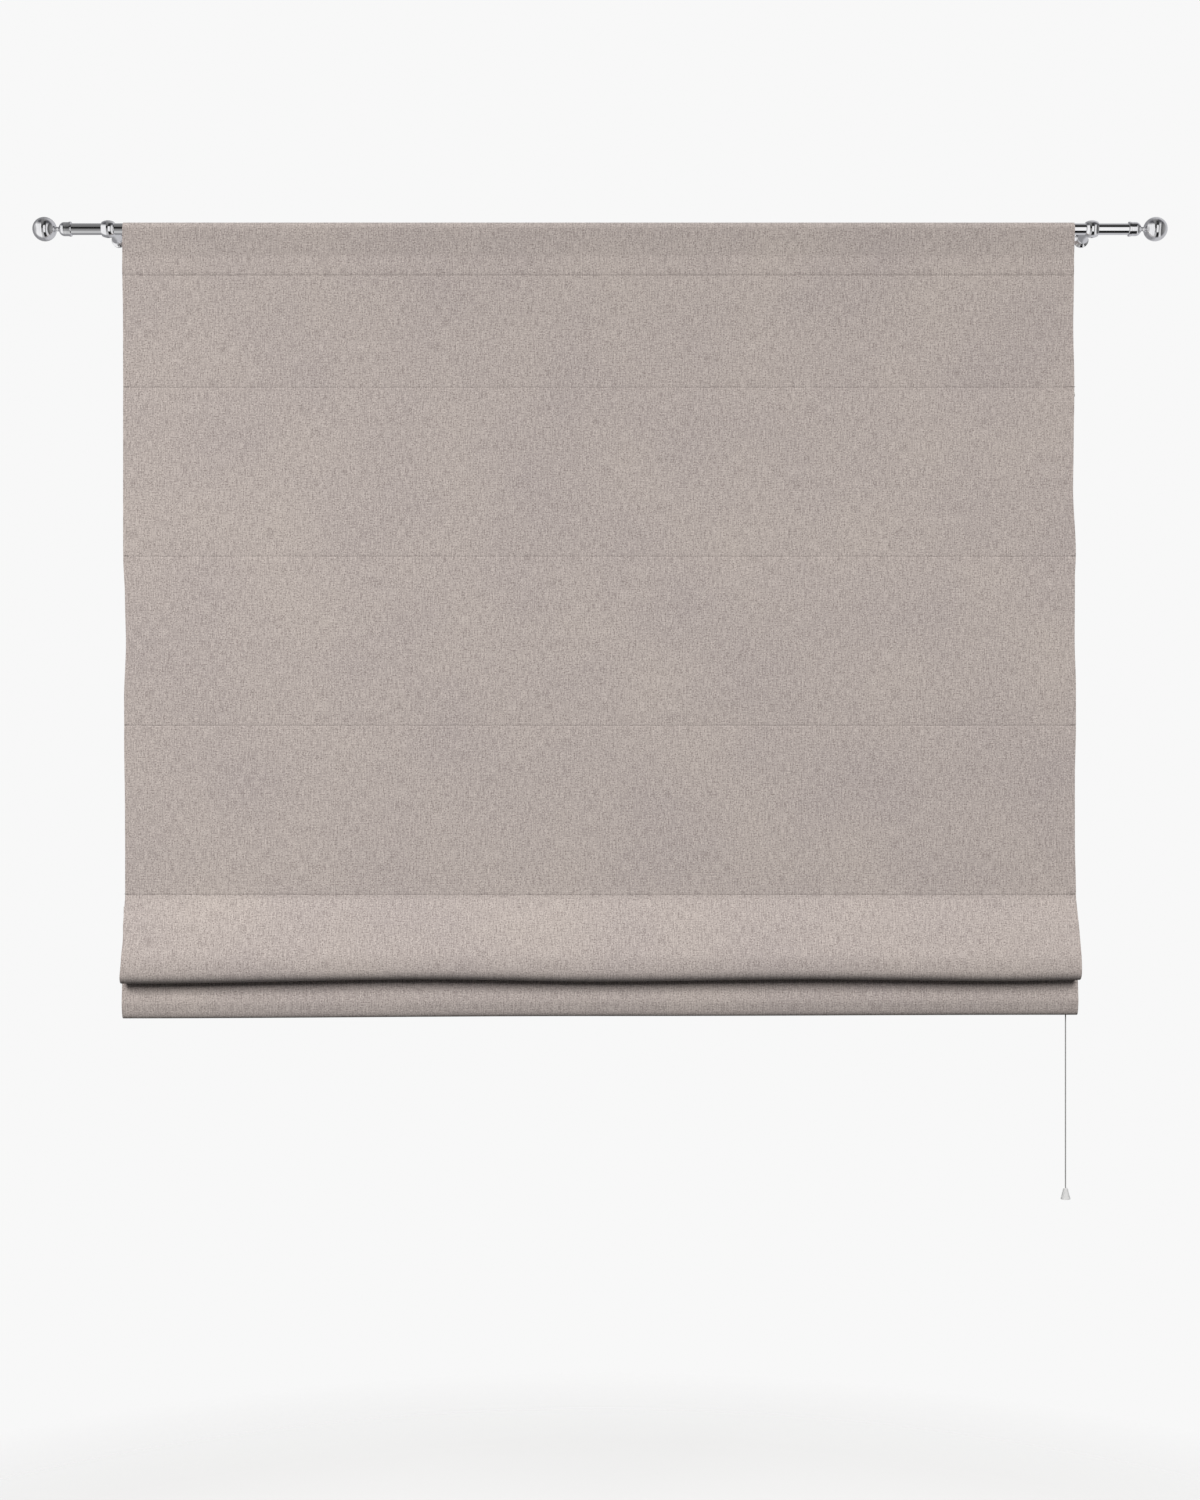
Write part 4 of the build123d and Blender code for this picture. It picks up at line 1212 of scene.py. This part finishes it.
@dataclass
class Fold:
    """The drawn-up fold, the last panel behind it and the hem with its pocket for the weight bar."""

    layout: Layout
    finishes: Finishes
    step: float = 3.6 * MM
    drop: float = 141.0 * MM
    hem_height: float = 62.0 * MM
    lap: float = 1.05
    # The section's radii and the swell are in millimetres.
    radii: tuple[float, ...] = (18.0, 70.0, 70.0, 18.0, 5.5, 0.9, 0.9, 60.0, 30.0, 14.0, 4.0, 1.2, 10.0, 4.0)
    swell: float = 1.1
    swell_reach: float = 0.04
    sag_power: float = 1.5
    droop: Knots = in_mm((-0.80, -5.5), (-0.28, 1.8), (0.0, -1.8), (0.35, 1.8), (0.68, -1.0), (0.80, 0.8))
    tilt: Knots = in_mm((-0.80, -4.5), (0.0, -0.6), (0.80, 1.6))
    stitch_rise: float = 60.5 * MM
    stitch_inset: float = 8 * MM
    stitch_follow: float = 0.55

    def path(self) -> np.ndarray:
        """Draws the section: down the front, round the fold, up, over the crease and down to the hem.

        Returns:
            Points y, z.
        """
        at = self.layout
        top, y = at.fold_top, at.panel_y
        bottom = top - self.drop
        hem_low = at.hem_bottom + at.cloth / 2
        hem_high = at.hem_bottom + self.hem_height
        lap = at.hem_front + at.cloth * self.lap
        corners = (
            (y, top),
            (y, top - 4.5 * MM),
            (y - 21.0 * MM, top - 50.0 * MM),
            (at.fold_front - 2.5 * MM, top - 108.0 * MM),
            (at.fold_front + 0.5 * MM, bottom),
            (at.fold_front + 25.0 * MM, bottom),
            (y - 2.2 * MM, at.crease),
            (y, at.crease),
            (at.hem_front - 1.5 * MM, hem_high - 4.0 * MM),
            (at.hem_front - 6.0 * MM, hem_low + 24.0 * MM),
            (at.hem_front - 2.4 * MM, hem_low + 7.0 * MM),
            (at.hem_front + 1.8 * MM, hem_low),
            (at.hem_back, hem_low),
            (at.hem_back, hem_high - 9.0 * MM),
            (lap, hem_high - 3.0 * MM),
            (lap, hem_high + 1.0 * MM),
        )
        return rounded_path(corners, [r * MM for r in self.radii], self.step)

    @staticmethod
    def crease_row(path: np.ndarray) -> int:
        """Returns the row of the section's second highest turn, where the fold meets the last panel."""
        skipped = len(path) // 4
        return skipped + int(np.argmax(path[skipped:, 1]))

    def sag(self, x: np.ndarray, path: np.ndarray) -> np.ndarray:
        """Returns how far each point of the cloth moves in Z, rows by columns.

        Args:
            x: The places of the columns.
            path: The points of the section.

        Returns:
            The moves.
        """
        at = self.layout
        crease_row = self.crease_row(path)
        before = np.arange(len(path)) < crease_row
        share = np.where(
            before,
            (at.fold_top - path[:, 1]) / (at.fold_top - path[:crease_row, 1].min()),
            (at.crease - path[:, 1]) / (at.crease - at.hem_bottom),
        )
        share = np.clip(share, 0.0, 1.0) ** self.sag_power
        fold, hem = smooth_between(x, self.droop), smooth_between(x, self.tilt)
        return share[:, None] * np.where(before[:, None], fold[None, :], hem[None, :])

    def build(self) -> list[bpy.types.Object]:
        """Builds the fold with its hem, and the hem's stitches.

        Returns:
            The new pieces.
        """
        at = self.layout
        x, path = at.columns(), self.path()
        surface, along = spread_over(x, path)
        surface[..., 2] += self.sag(x, path)
        out = np.clip((at.panel_y - path[:, 0]) / self.swell_reach, 0.0, 1.0)
        swell = ripple(x, 31, 0.18, 1.3)[None, :] + ripple(along[:, 0], 32, 0.08, 0.4)[:, None] * 0.3
        surface[..., 1] -= out[:, None] * swell * self.swell * MM
        back = np.repeat((at.cloth / 2 - at.soft_edge(x))[None, :], len(path), axis=0)
        flat = np.stack([surface[..., 0], at.fold_top - along], axis=2)
        behind = np.arange(len(path)) >= self.crease_row(path)
        shifts = [edges.shift(x, path[:, 1]) for edges in (HEM_EDGES, FOLD_EDGES)]
        surface[..., 0] += np.where(behind[:, None], *shifts)
        front = at.face(x, along[:, 0])
        piece = closed_cloth("cloth_fold", surface, front, back, flat, self.finishes.cloth)
        settle(piece, Body.LOWER, "fabric_fold")
        seam = StitchRow(
            "stitches_hem",
            at.hem_bottom + self.stitch_rise,
            at.hem_front + at.cloth * 1.55 + 0.1 * MM,
            -at.half_width + self.stitch_inset,
            at.half_width - self.stitch_inset,
            seed=5,
        ).build(
            self.finishes.thread,
            lambda place: float(smooth_between(np.array([place]), self.tilt)[0]) * self.stitch_follow,
        )
        settle(seam, Body.LOWER)
        return [piece, seam]


@dataclass
class RodRow:
    """One seam: its tape with a loop round the rod, and its lines of stitches."""

    layout: Layout
    finishes: Finishes
    number: int
    body: Body
    thickness: float = 0.6 * MM
    loop_degrees: float = 318
    flat_points: int = 10
    loop_points: int = 34
    columns: int = 170
    end_gap: float = 3 * MM
    slack: float = 0.18  # in millimetres
    slack_below: float = 0.008
    stitch_inset: float = 4 * MM
    face_inset: float = 12 * MM
    tack: tuple[float, float] = (1.0, 9.5)  # in millimetres from the cloth's edge
    last_visible: int = 4

    def build(self) -> list[bpy.types.Object]:
        """Builds the tape and the stitches.

        Returns:
            The new pieces.
        """
        at, node = self.layout, f"rod_tape_{self.number}"
        low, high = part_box(node)
        rod_low, rod_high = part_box(f"stiffening_rod_{self.number}")
        rod_y, rod_z = (rod_low.y + rod_high.y) / 2, (rod_low.z + rod_high.z) / 2
        loop = (high.y - low.y) / 2 - self.thickness / 2
        top = [(rod_y - loop, z) for z in np.linspace(high.z, rod_z + 0.5 * MM, self.flat_points)]
        turn = np.linspace(math.pi, math.pi + math.radians(self.loop_degrees), self.loop_points)
        ring = [(rod_y + loop * math.cos(a), rod_z + loop * math.sin(a)) for a in turn]
        path = np.array(top + ring)
        length = at.half_width - self.end_gap
        x = np.linspace(-length, length, self.columns)
        surface, along = spread_over(x, path)
        free = np.clip((high.z - path[:, 1]) / self.slack_below, 0.0, 1.0)
        waves = np.abs(ripple(x, 40 + self.number, 0.06, 0.5))
        surface[..., 1] += free[:, None] * waves[None, :] * self.slack * MM
        half = np.full(along.shape, self.thickness / 2)
        flat = np.stack([surface[..., 0], along], axis=2)
        tape = closed_cloth(f"tape_{self.number}", surface, half, half, flat, self.finishes.tape)
        settle(tape, self.body, node)
        seam_z = at.seams[self.number - 1]
        seam = StitchRow(
            f"stitches_tape_{self.number}",
            seam_z + 0.5 * MM,
            low.y + self.thickness + 0.05 * MM,
            -length + self.stitch_inset,
            length - self.stitch_inset,
            seed=50 + self.number,
        )
        rows = [seam.build(self.finishes.thread)]
        if self.number <= self.last_visible:
            rows += self.face_stitches(seam_z)
        for row in rows:
            settle(row, self.body)
        return [tape, *rows]

    def face_stitches(self, seam_z: float) -> list[bpy.types.Object]:
        """Builds the stitches that show on the cloth's face, and the tack at each end.

        Args:
            seam_z: The seam's height.

        Returns:
            The line of stitches and the two tacks.
        """
        at = self.layout
        line = StitchRow(
            f"stitches_face_{self.number}",
            seam_z,
            at.panel_y - at.cloth / 2 + at.groove - 0.12 * MM,
            -at.half_width + self.face_inset,
            at.half_width - self.face_inset,
            seed=60 + self.number,
        )
        made = [line.build(self.finishes.thread)]
        for side, word in ((-1, "left"), (1, "right")):
            ends = sorted(side * (at.half_width - inset * MM) for inset in self.tack)
            tack = StitchRow(
                f"tack_{word}_{self.number}",
                seam_z + 1.2 * MM,
                at.panel_y - at.cloth / 2 - 0.1 * MM,
                *ends,
                pitch=1.5 * MM,
                length=1.9 * MM,
                radius=0.45 * MM,
                seed=70,
            )
            made.append(tack.build(self.finishes.dark_thread))
        return made


# ---------------------------------------------------------------- cords


@dataclass
class LiftCord:
    """One lift cord: up through the rings, along the header, over the pulley and down to the joiner."""

    layout: Layout
    finishes: Finishes
    number: int
    turn: float = 7.0 * MM
    run_step: float = 0.02
    rise_points: int = 120
    corner_points: int = 9
    tail_points: int = 50
    in_joiner: float = 9.8 * MM
    free_end: float = 12 * MM

    def build(self) -> list[bpy.types.Object]:
        """Builds the cord in three stretches that meet end to end.

        Returns:
            The new pieces.
        """
        node = f"lift_cord_{self.number}"
        low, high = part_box(node)
        radius = (high.y - low.y) / 2
        y = (low.y + high.y) / 2
        up_x, pull_x = low.x + radius, high.x - radius
        level = high.z - radius
        pulley_low, pulley_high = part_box("cord_lock_pulley")
        wheel = pull_x - (pulley_low.x + pulley_high.x) / 2
        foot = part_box("cord_joiner_cap")[1].z - self.in_joiner
        corner, over = level - self.turn, level - wheel
        rise = np.array([(up_x, y, z) for z in np.linspace(low.z, corner, self.rise_points)])
        quarter = np.linspace(0.0, math.pi / 2, self.corner_points)
        first = [
            (up_x + self.turn * (1 - math.cos(a)), y, level - self.turn * (1 - math.sin(a))) for a in quarter
        ]
        last = [(pull_x - wheel * (1 - math.sin(a)), y, level - wheel * (1 - math.cos(a))) for a in quarter]
        count = max(3, round((pull_x - up_x) / self.run_step))
        run = np.linspace(up_x + self.turn, pull_x - wheel, count)[1:-1]
        header = np.array(first + [(x, y, level) for x in run] + last)
        tail = np.array([(pull_x, y, z) for z in np.linspace(over, foot, self.tail_points)])
        rising, along, falling = (
            tube(f"cord_{word}_{self.number}", line, radius, self.finishes.cord)
            for word, line in (("rise", rise), ("header", header), ("tail", tail))
        )
        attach(rising, Body.HEADRAIL.value)
        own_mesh(rising)
        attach(along, Body.HEADRAIL.value)
        end = (pull_x, y, foot + self.free_end)
        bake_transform(falling, Body.HEADRAIL.value, Body.PULL.value, start=(pull_x, y, over), end=end)
        for piece in (rising, along, falling):
            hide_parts(node)
        return [rising, along, falling]


@dataclass
class PullCord:
    """The cord below the joiner, with its knot inside the tassel."""

    finishes: Finishes
    shares: tuple[float, ...] = (0.0, 0.02, 0.2, 0.4, 0.6, 0.8, 0.97, 1.0)
    strand: float = 0.75 * MM
    knot_points: int = 97

    def build(self, frame: dict) -> list[bpy.types.Object]:
        """Builds the cord and the knot.


        Returns:
            The new pieces.
        """
        low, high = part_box("pull_cord")
        radius = (high.x - low.x) / 2
        x, y = (low.x + high.x) / 2, (low.y + high.y) / 2
        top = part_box("cord_joiner_plug")[0].z
        length = top - low.z
        curve = bpy.data.curves.new("pull_line", "CURVE")
        curve.dimensions = "3D"
        spline = curve.splines.new("NURBS")
        spline.points.add(len(self.shares) - 1)
        for point, share in zip(spline.points, self.shares):
            point.co = (x, y, top - share * length, 1.0)
        spline.order_u = 3
        spline.use_endpoint_u = True
        spline.resolution_u = 12
        curve.bevel_depth = radius
        curve.bevel_resolution = 4
        curve.use_fill_caps = True
        curve.materials.append(self.finishes.cord)
        cord = bpy.data.objects.new("pull_line", curve)
        bpy.context.scene.collection.objects.link(cord)
        settle(cord, Body.PULL, "pull_cord")
        knot = self.knot()
        return [cord, knot]

    def knot(self) -> bpy.types.Object:
        """Builds the overhand knot that holds the tassel.

        Returns:
            The knot.
        """
        low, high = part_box("pull_cord_knot")
        centre = np.array([(low.x + high.x) / 2, (low.y + high.y) / 2, (low.z + high.z) / 2])
        size = ((high.x - low.x) / 2 - self.strand) / 3
        t = np.linspace(0.0, 2 * math.pi, self.knot_points)
        loops = (
            size * (np.sin(t) + 2 * np.sin(2 * t)),
            size * (np.cos(t) - 2 * np.cos(2 * t)),
            -size * 1.4 * np.sin(3 * t),
        )
        line = centre + np.stack(loops, axis=1)
        knot = tube("pull_knot", line, self.strand, self.finishes.cord, sides=8)
        settle(knot, Body.PULL, "pull_cord_knot")
        return knot


# ---------------------------------------------------------------- stage


@dataclass(frozen=True)
class Cards:
    """The greys that a direction shows: soft light for the cloth, and cards for the metal to reflect.

    Each knot is a place from 0, at -1 of the direction's part on that axis, to 1, at +1, and its grey.
    """

    soft: Knots = ((0.0, 0.02), (0.45, 0.06), (0.62, 0.20), (0.80, 0.40), (1.0, 0.45))
    left: Knots = (
        (0.0, 0.60), (0.13, 0.56), (0.18, 0.30), (0.44, 0.24), (0.49, 0.01), (0.72, 0.01), (0.78, 0.15),
        (1.0, 0.24),
    )
    right: Knots = (
        (0.0, 0.01), (0.15, 0.01), (0.19, 1.0), (0.68, 1.0), (0.73, 0.02), (0.96, 0.04), (1.0, 0.30),
    )
    far: Knots = (
        (0.0, 0.55), (0.06, 0.98), (0.50, 0.98), (0.64, 0.03), (0.68, 0.03), (0.72, 0.85), (0.80, 0.80),
        (0.84, 0.05), (1.0, 0.35),
    )
    above: tuple[float, ...] = (0.10, 0.10, 0.11, 1.0)
    behind_left: tuple[float, ...] = (0.30, 0.30, 0.31, 1.0)
    behind_right: tuple[float, ...] = (0.58, 0.58, 0.60, 1.0)


@dataclass(frozen=True)
class SoftLight:
    """A rectangular area light, with its power in watts and its spread in degrees."""

    name: str
    at: Point
    towards: Point
    size: tuple[float, float]
    power: float
    colour: Colour = WHITE
    spread: float = 180.0

    def build(self) -> None:
        """Adds the light."""
        data = bpy.data.lights.new(self.name, "AREA")
        data.shape = "RECTANGLE"
        data.size, data.size_y = self.size
        data.energy = self.power
        data.color = self.colour
        data.spread = math.radians(self.spread)
        light = bpy.data.objects.new(self.name, data)
        light.location = self.at
        light.visible_glossy = False
        light.rotation_euler = (Vector(self.towards) - Vector(self.at)).to_track_quat("-Z", "Y").to_euler()
        bpy.context.scene.collection.objects.link(light)


WARM = (1.0, 0.975, 0.945)


@dataclass
class Stage:
    """The camera, the soft studio light and the pale floor."""

    camera_at: Point = (0.0, -3.58, -0.875)
    lens: float = 50.0
    sensor: float = 36.0
    backdrop: float = 0.938
    lights: tuple[SoftLight, ...] = (
        SoftLight("key_left", (-2.1, -3.2, 0.80), (-0.85, -0.1, -1.50), (1.0, 2.0), 42.5, WARM, 105.0),
        SoftLight("key_right", (2.1, -3.2, 0.80), (0.85, -0.1, -1.50), (1.0, 2.0), 33.5, WARM, 105.0),
        SoftLight("back", (0.6, 2.4, 0.9), (0.0, 0.0, -0.7), (2.4, 1.2), 52.0),
    )
    floor_at: Point = (0.0, -0.3, -2.60)
    floor_size: float = 4.0
    fade_from: float = 1.3
    fade_over: float = 1.2
    least_clear: float = 0.5

    def build(self) -> None:
        """Builds everything that isn't the blind."""
        self.camera()
        self.world(Cards())
        for light in self.lights:
            light.build()
        self.floor()
        bpy.context.scene.view_settings.view_transform = "Standard"

    def camera(self) -> None:
        """Creates the camera, level and square to the wall."""
        data = bpy.data.cameras.new("camera")
        data.lens = self.lens
        data.sensor_fit = "VERTICAL"
        data.sensor_height = self.sensor
        data.clip_end = 100.0
        camera = bpy.data.objects.new("camera", data)
        camera.location = self.camera_at
        camera.rotation_euler = (math.radians(90), 0.0, 0.0)
        bpy.context.scene.collection.objects.link(camera)
        bpy.context.scene.camera = camera

    def world(self, cards: Cards) -> None:
        """Builds a flat pale backdrop, soft light from above, and cards for the metal to reflect.

        Args:
            cards: What each direction shows.
        """
        g = Graph("studio", world=True)
        bpy.context.scene.world = g.owner
        ray = g.add("LightPath").outputs
        x, y, z = g.add("SeparateXYZ", Vector=g.add("TexCoord").outputs["Generated"]).outputs
        soft, left, right, far = (
            g.ramp(g.step(axis, -1.0, 1.0), [(place, grey(tone)) for place, tone in knots])
            for axis, knots in ((z, cards.soft), (z, cards.left), (z, cards.right), (x, cards.far))
        )
        front = g.mix(g.step(x, -0.05, 0.05), left, right)
        far = g.mix(g.step(z, 0.50, 0.80), far, cards.above)
        front = g.mix(g.step(g.math("ABSOLUTE", x), 0.28, 0.33), front, far)
        behind = g.mix(g.step(x, -0.2, 0.2), cards.behind_left, cards.behind_right)
        reflected = g.mix(g.step(y, -0.05, 0.30), front, behind)
        lit = g.mix(ray["Is Glossy Ray"], soft, reflected)
        seen = g.mix(ray["Is Camera Ray"], lit, (*grey(self.backdrop), 1.0))
        g.end(g.add("Background", Color=seen))

    def floor(self) -> None:
        """Builds a pale floor that fades out towards its edge."""
        size = self.floor_size
        corners = [(-size, -size, 0.0), (size, -size, 0.0), (size, size, 0.0), (-size, size, 0.0)]
        g = Graph("pale_floor")
        distance = g.add("VectorMath", operation="LENGTH")
        g.feed(distance.inputs[0], g.place((1.0, 1.0, 1.0)))
        past = g.math("SUBTRACT", distance.outputs["Value"], self.fade_from)
        clear = g.add("Clamp", Value=g.math("DIVIDE", past, self.fade_over), Min=self.least_clear)
        mix = g.add("MixShader")
        parts = (clear, g.add("BsdfDiffuse", Color=(*grey(0.90), 1.0)), g.add("BsdfTransparent"))
        for socket, part in zip(mix.inputs, parts):
            g.feed(socket, part.outputs[0])
        floor = make_object("floor", np.array(corners), [(0, 1, 2, 3)], g.end(mix))
        floor.location = self.floor_at
        floor.visible_glossy = False
        floor.visible_diffuse = False


# ---------------------------------------------------------------- main


def main(frame: dict) -> None:
    """Builds the stage and then every piece of the blind.
    """
    logging.basicConfig(level=logging.INFO, format="%(name)s: %(message)s")
    Stage().build()
    layout = Layout.read(frame)
    finishes = Finishes.build()
    dress(frame, finishes)
    made = [
        *Pocket(layout, finishes).build(),
        *Panel(layout, finishes).build(),
        *Fold(layout, finishes).build(),
    ]
    bodies = (Body.ROD_ROW_1, Body.ROD_ROW_2, Body.ROD_ROW_3, Body.LOWER, Body.LOWER)
    for number, body in enumerate(bodies, start=1):
        made += RodRow(layout, finishes, number, body).build()
    for number in range(1, 5):
        made += LiftCord(layout, finishes, number).build()
    made += PullCord(finishes).build(frame)


if __name__ == "__main__":
    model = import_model()
    main(model)
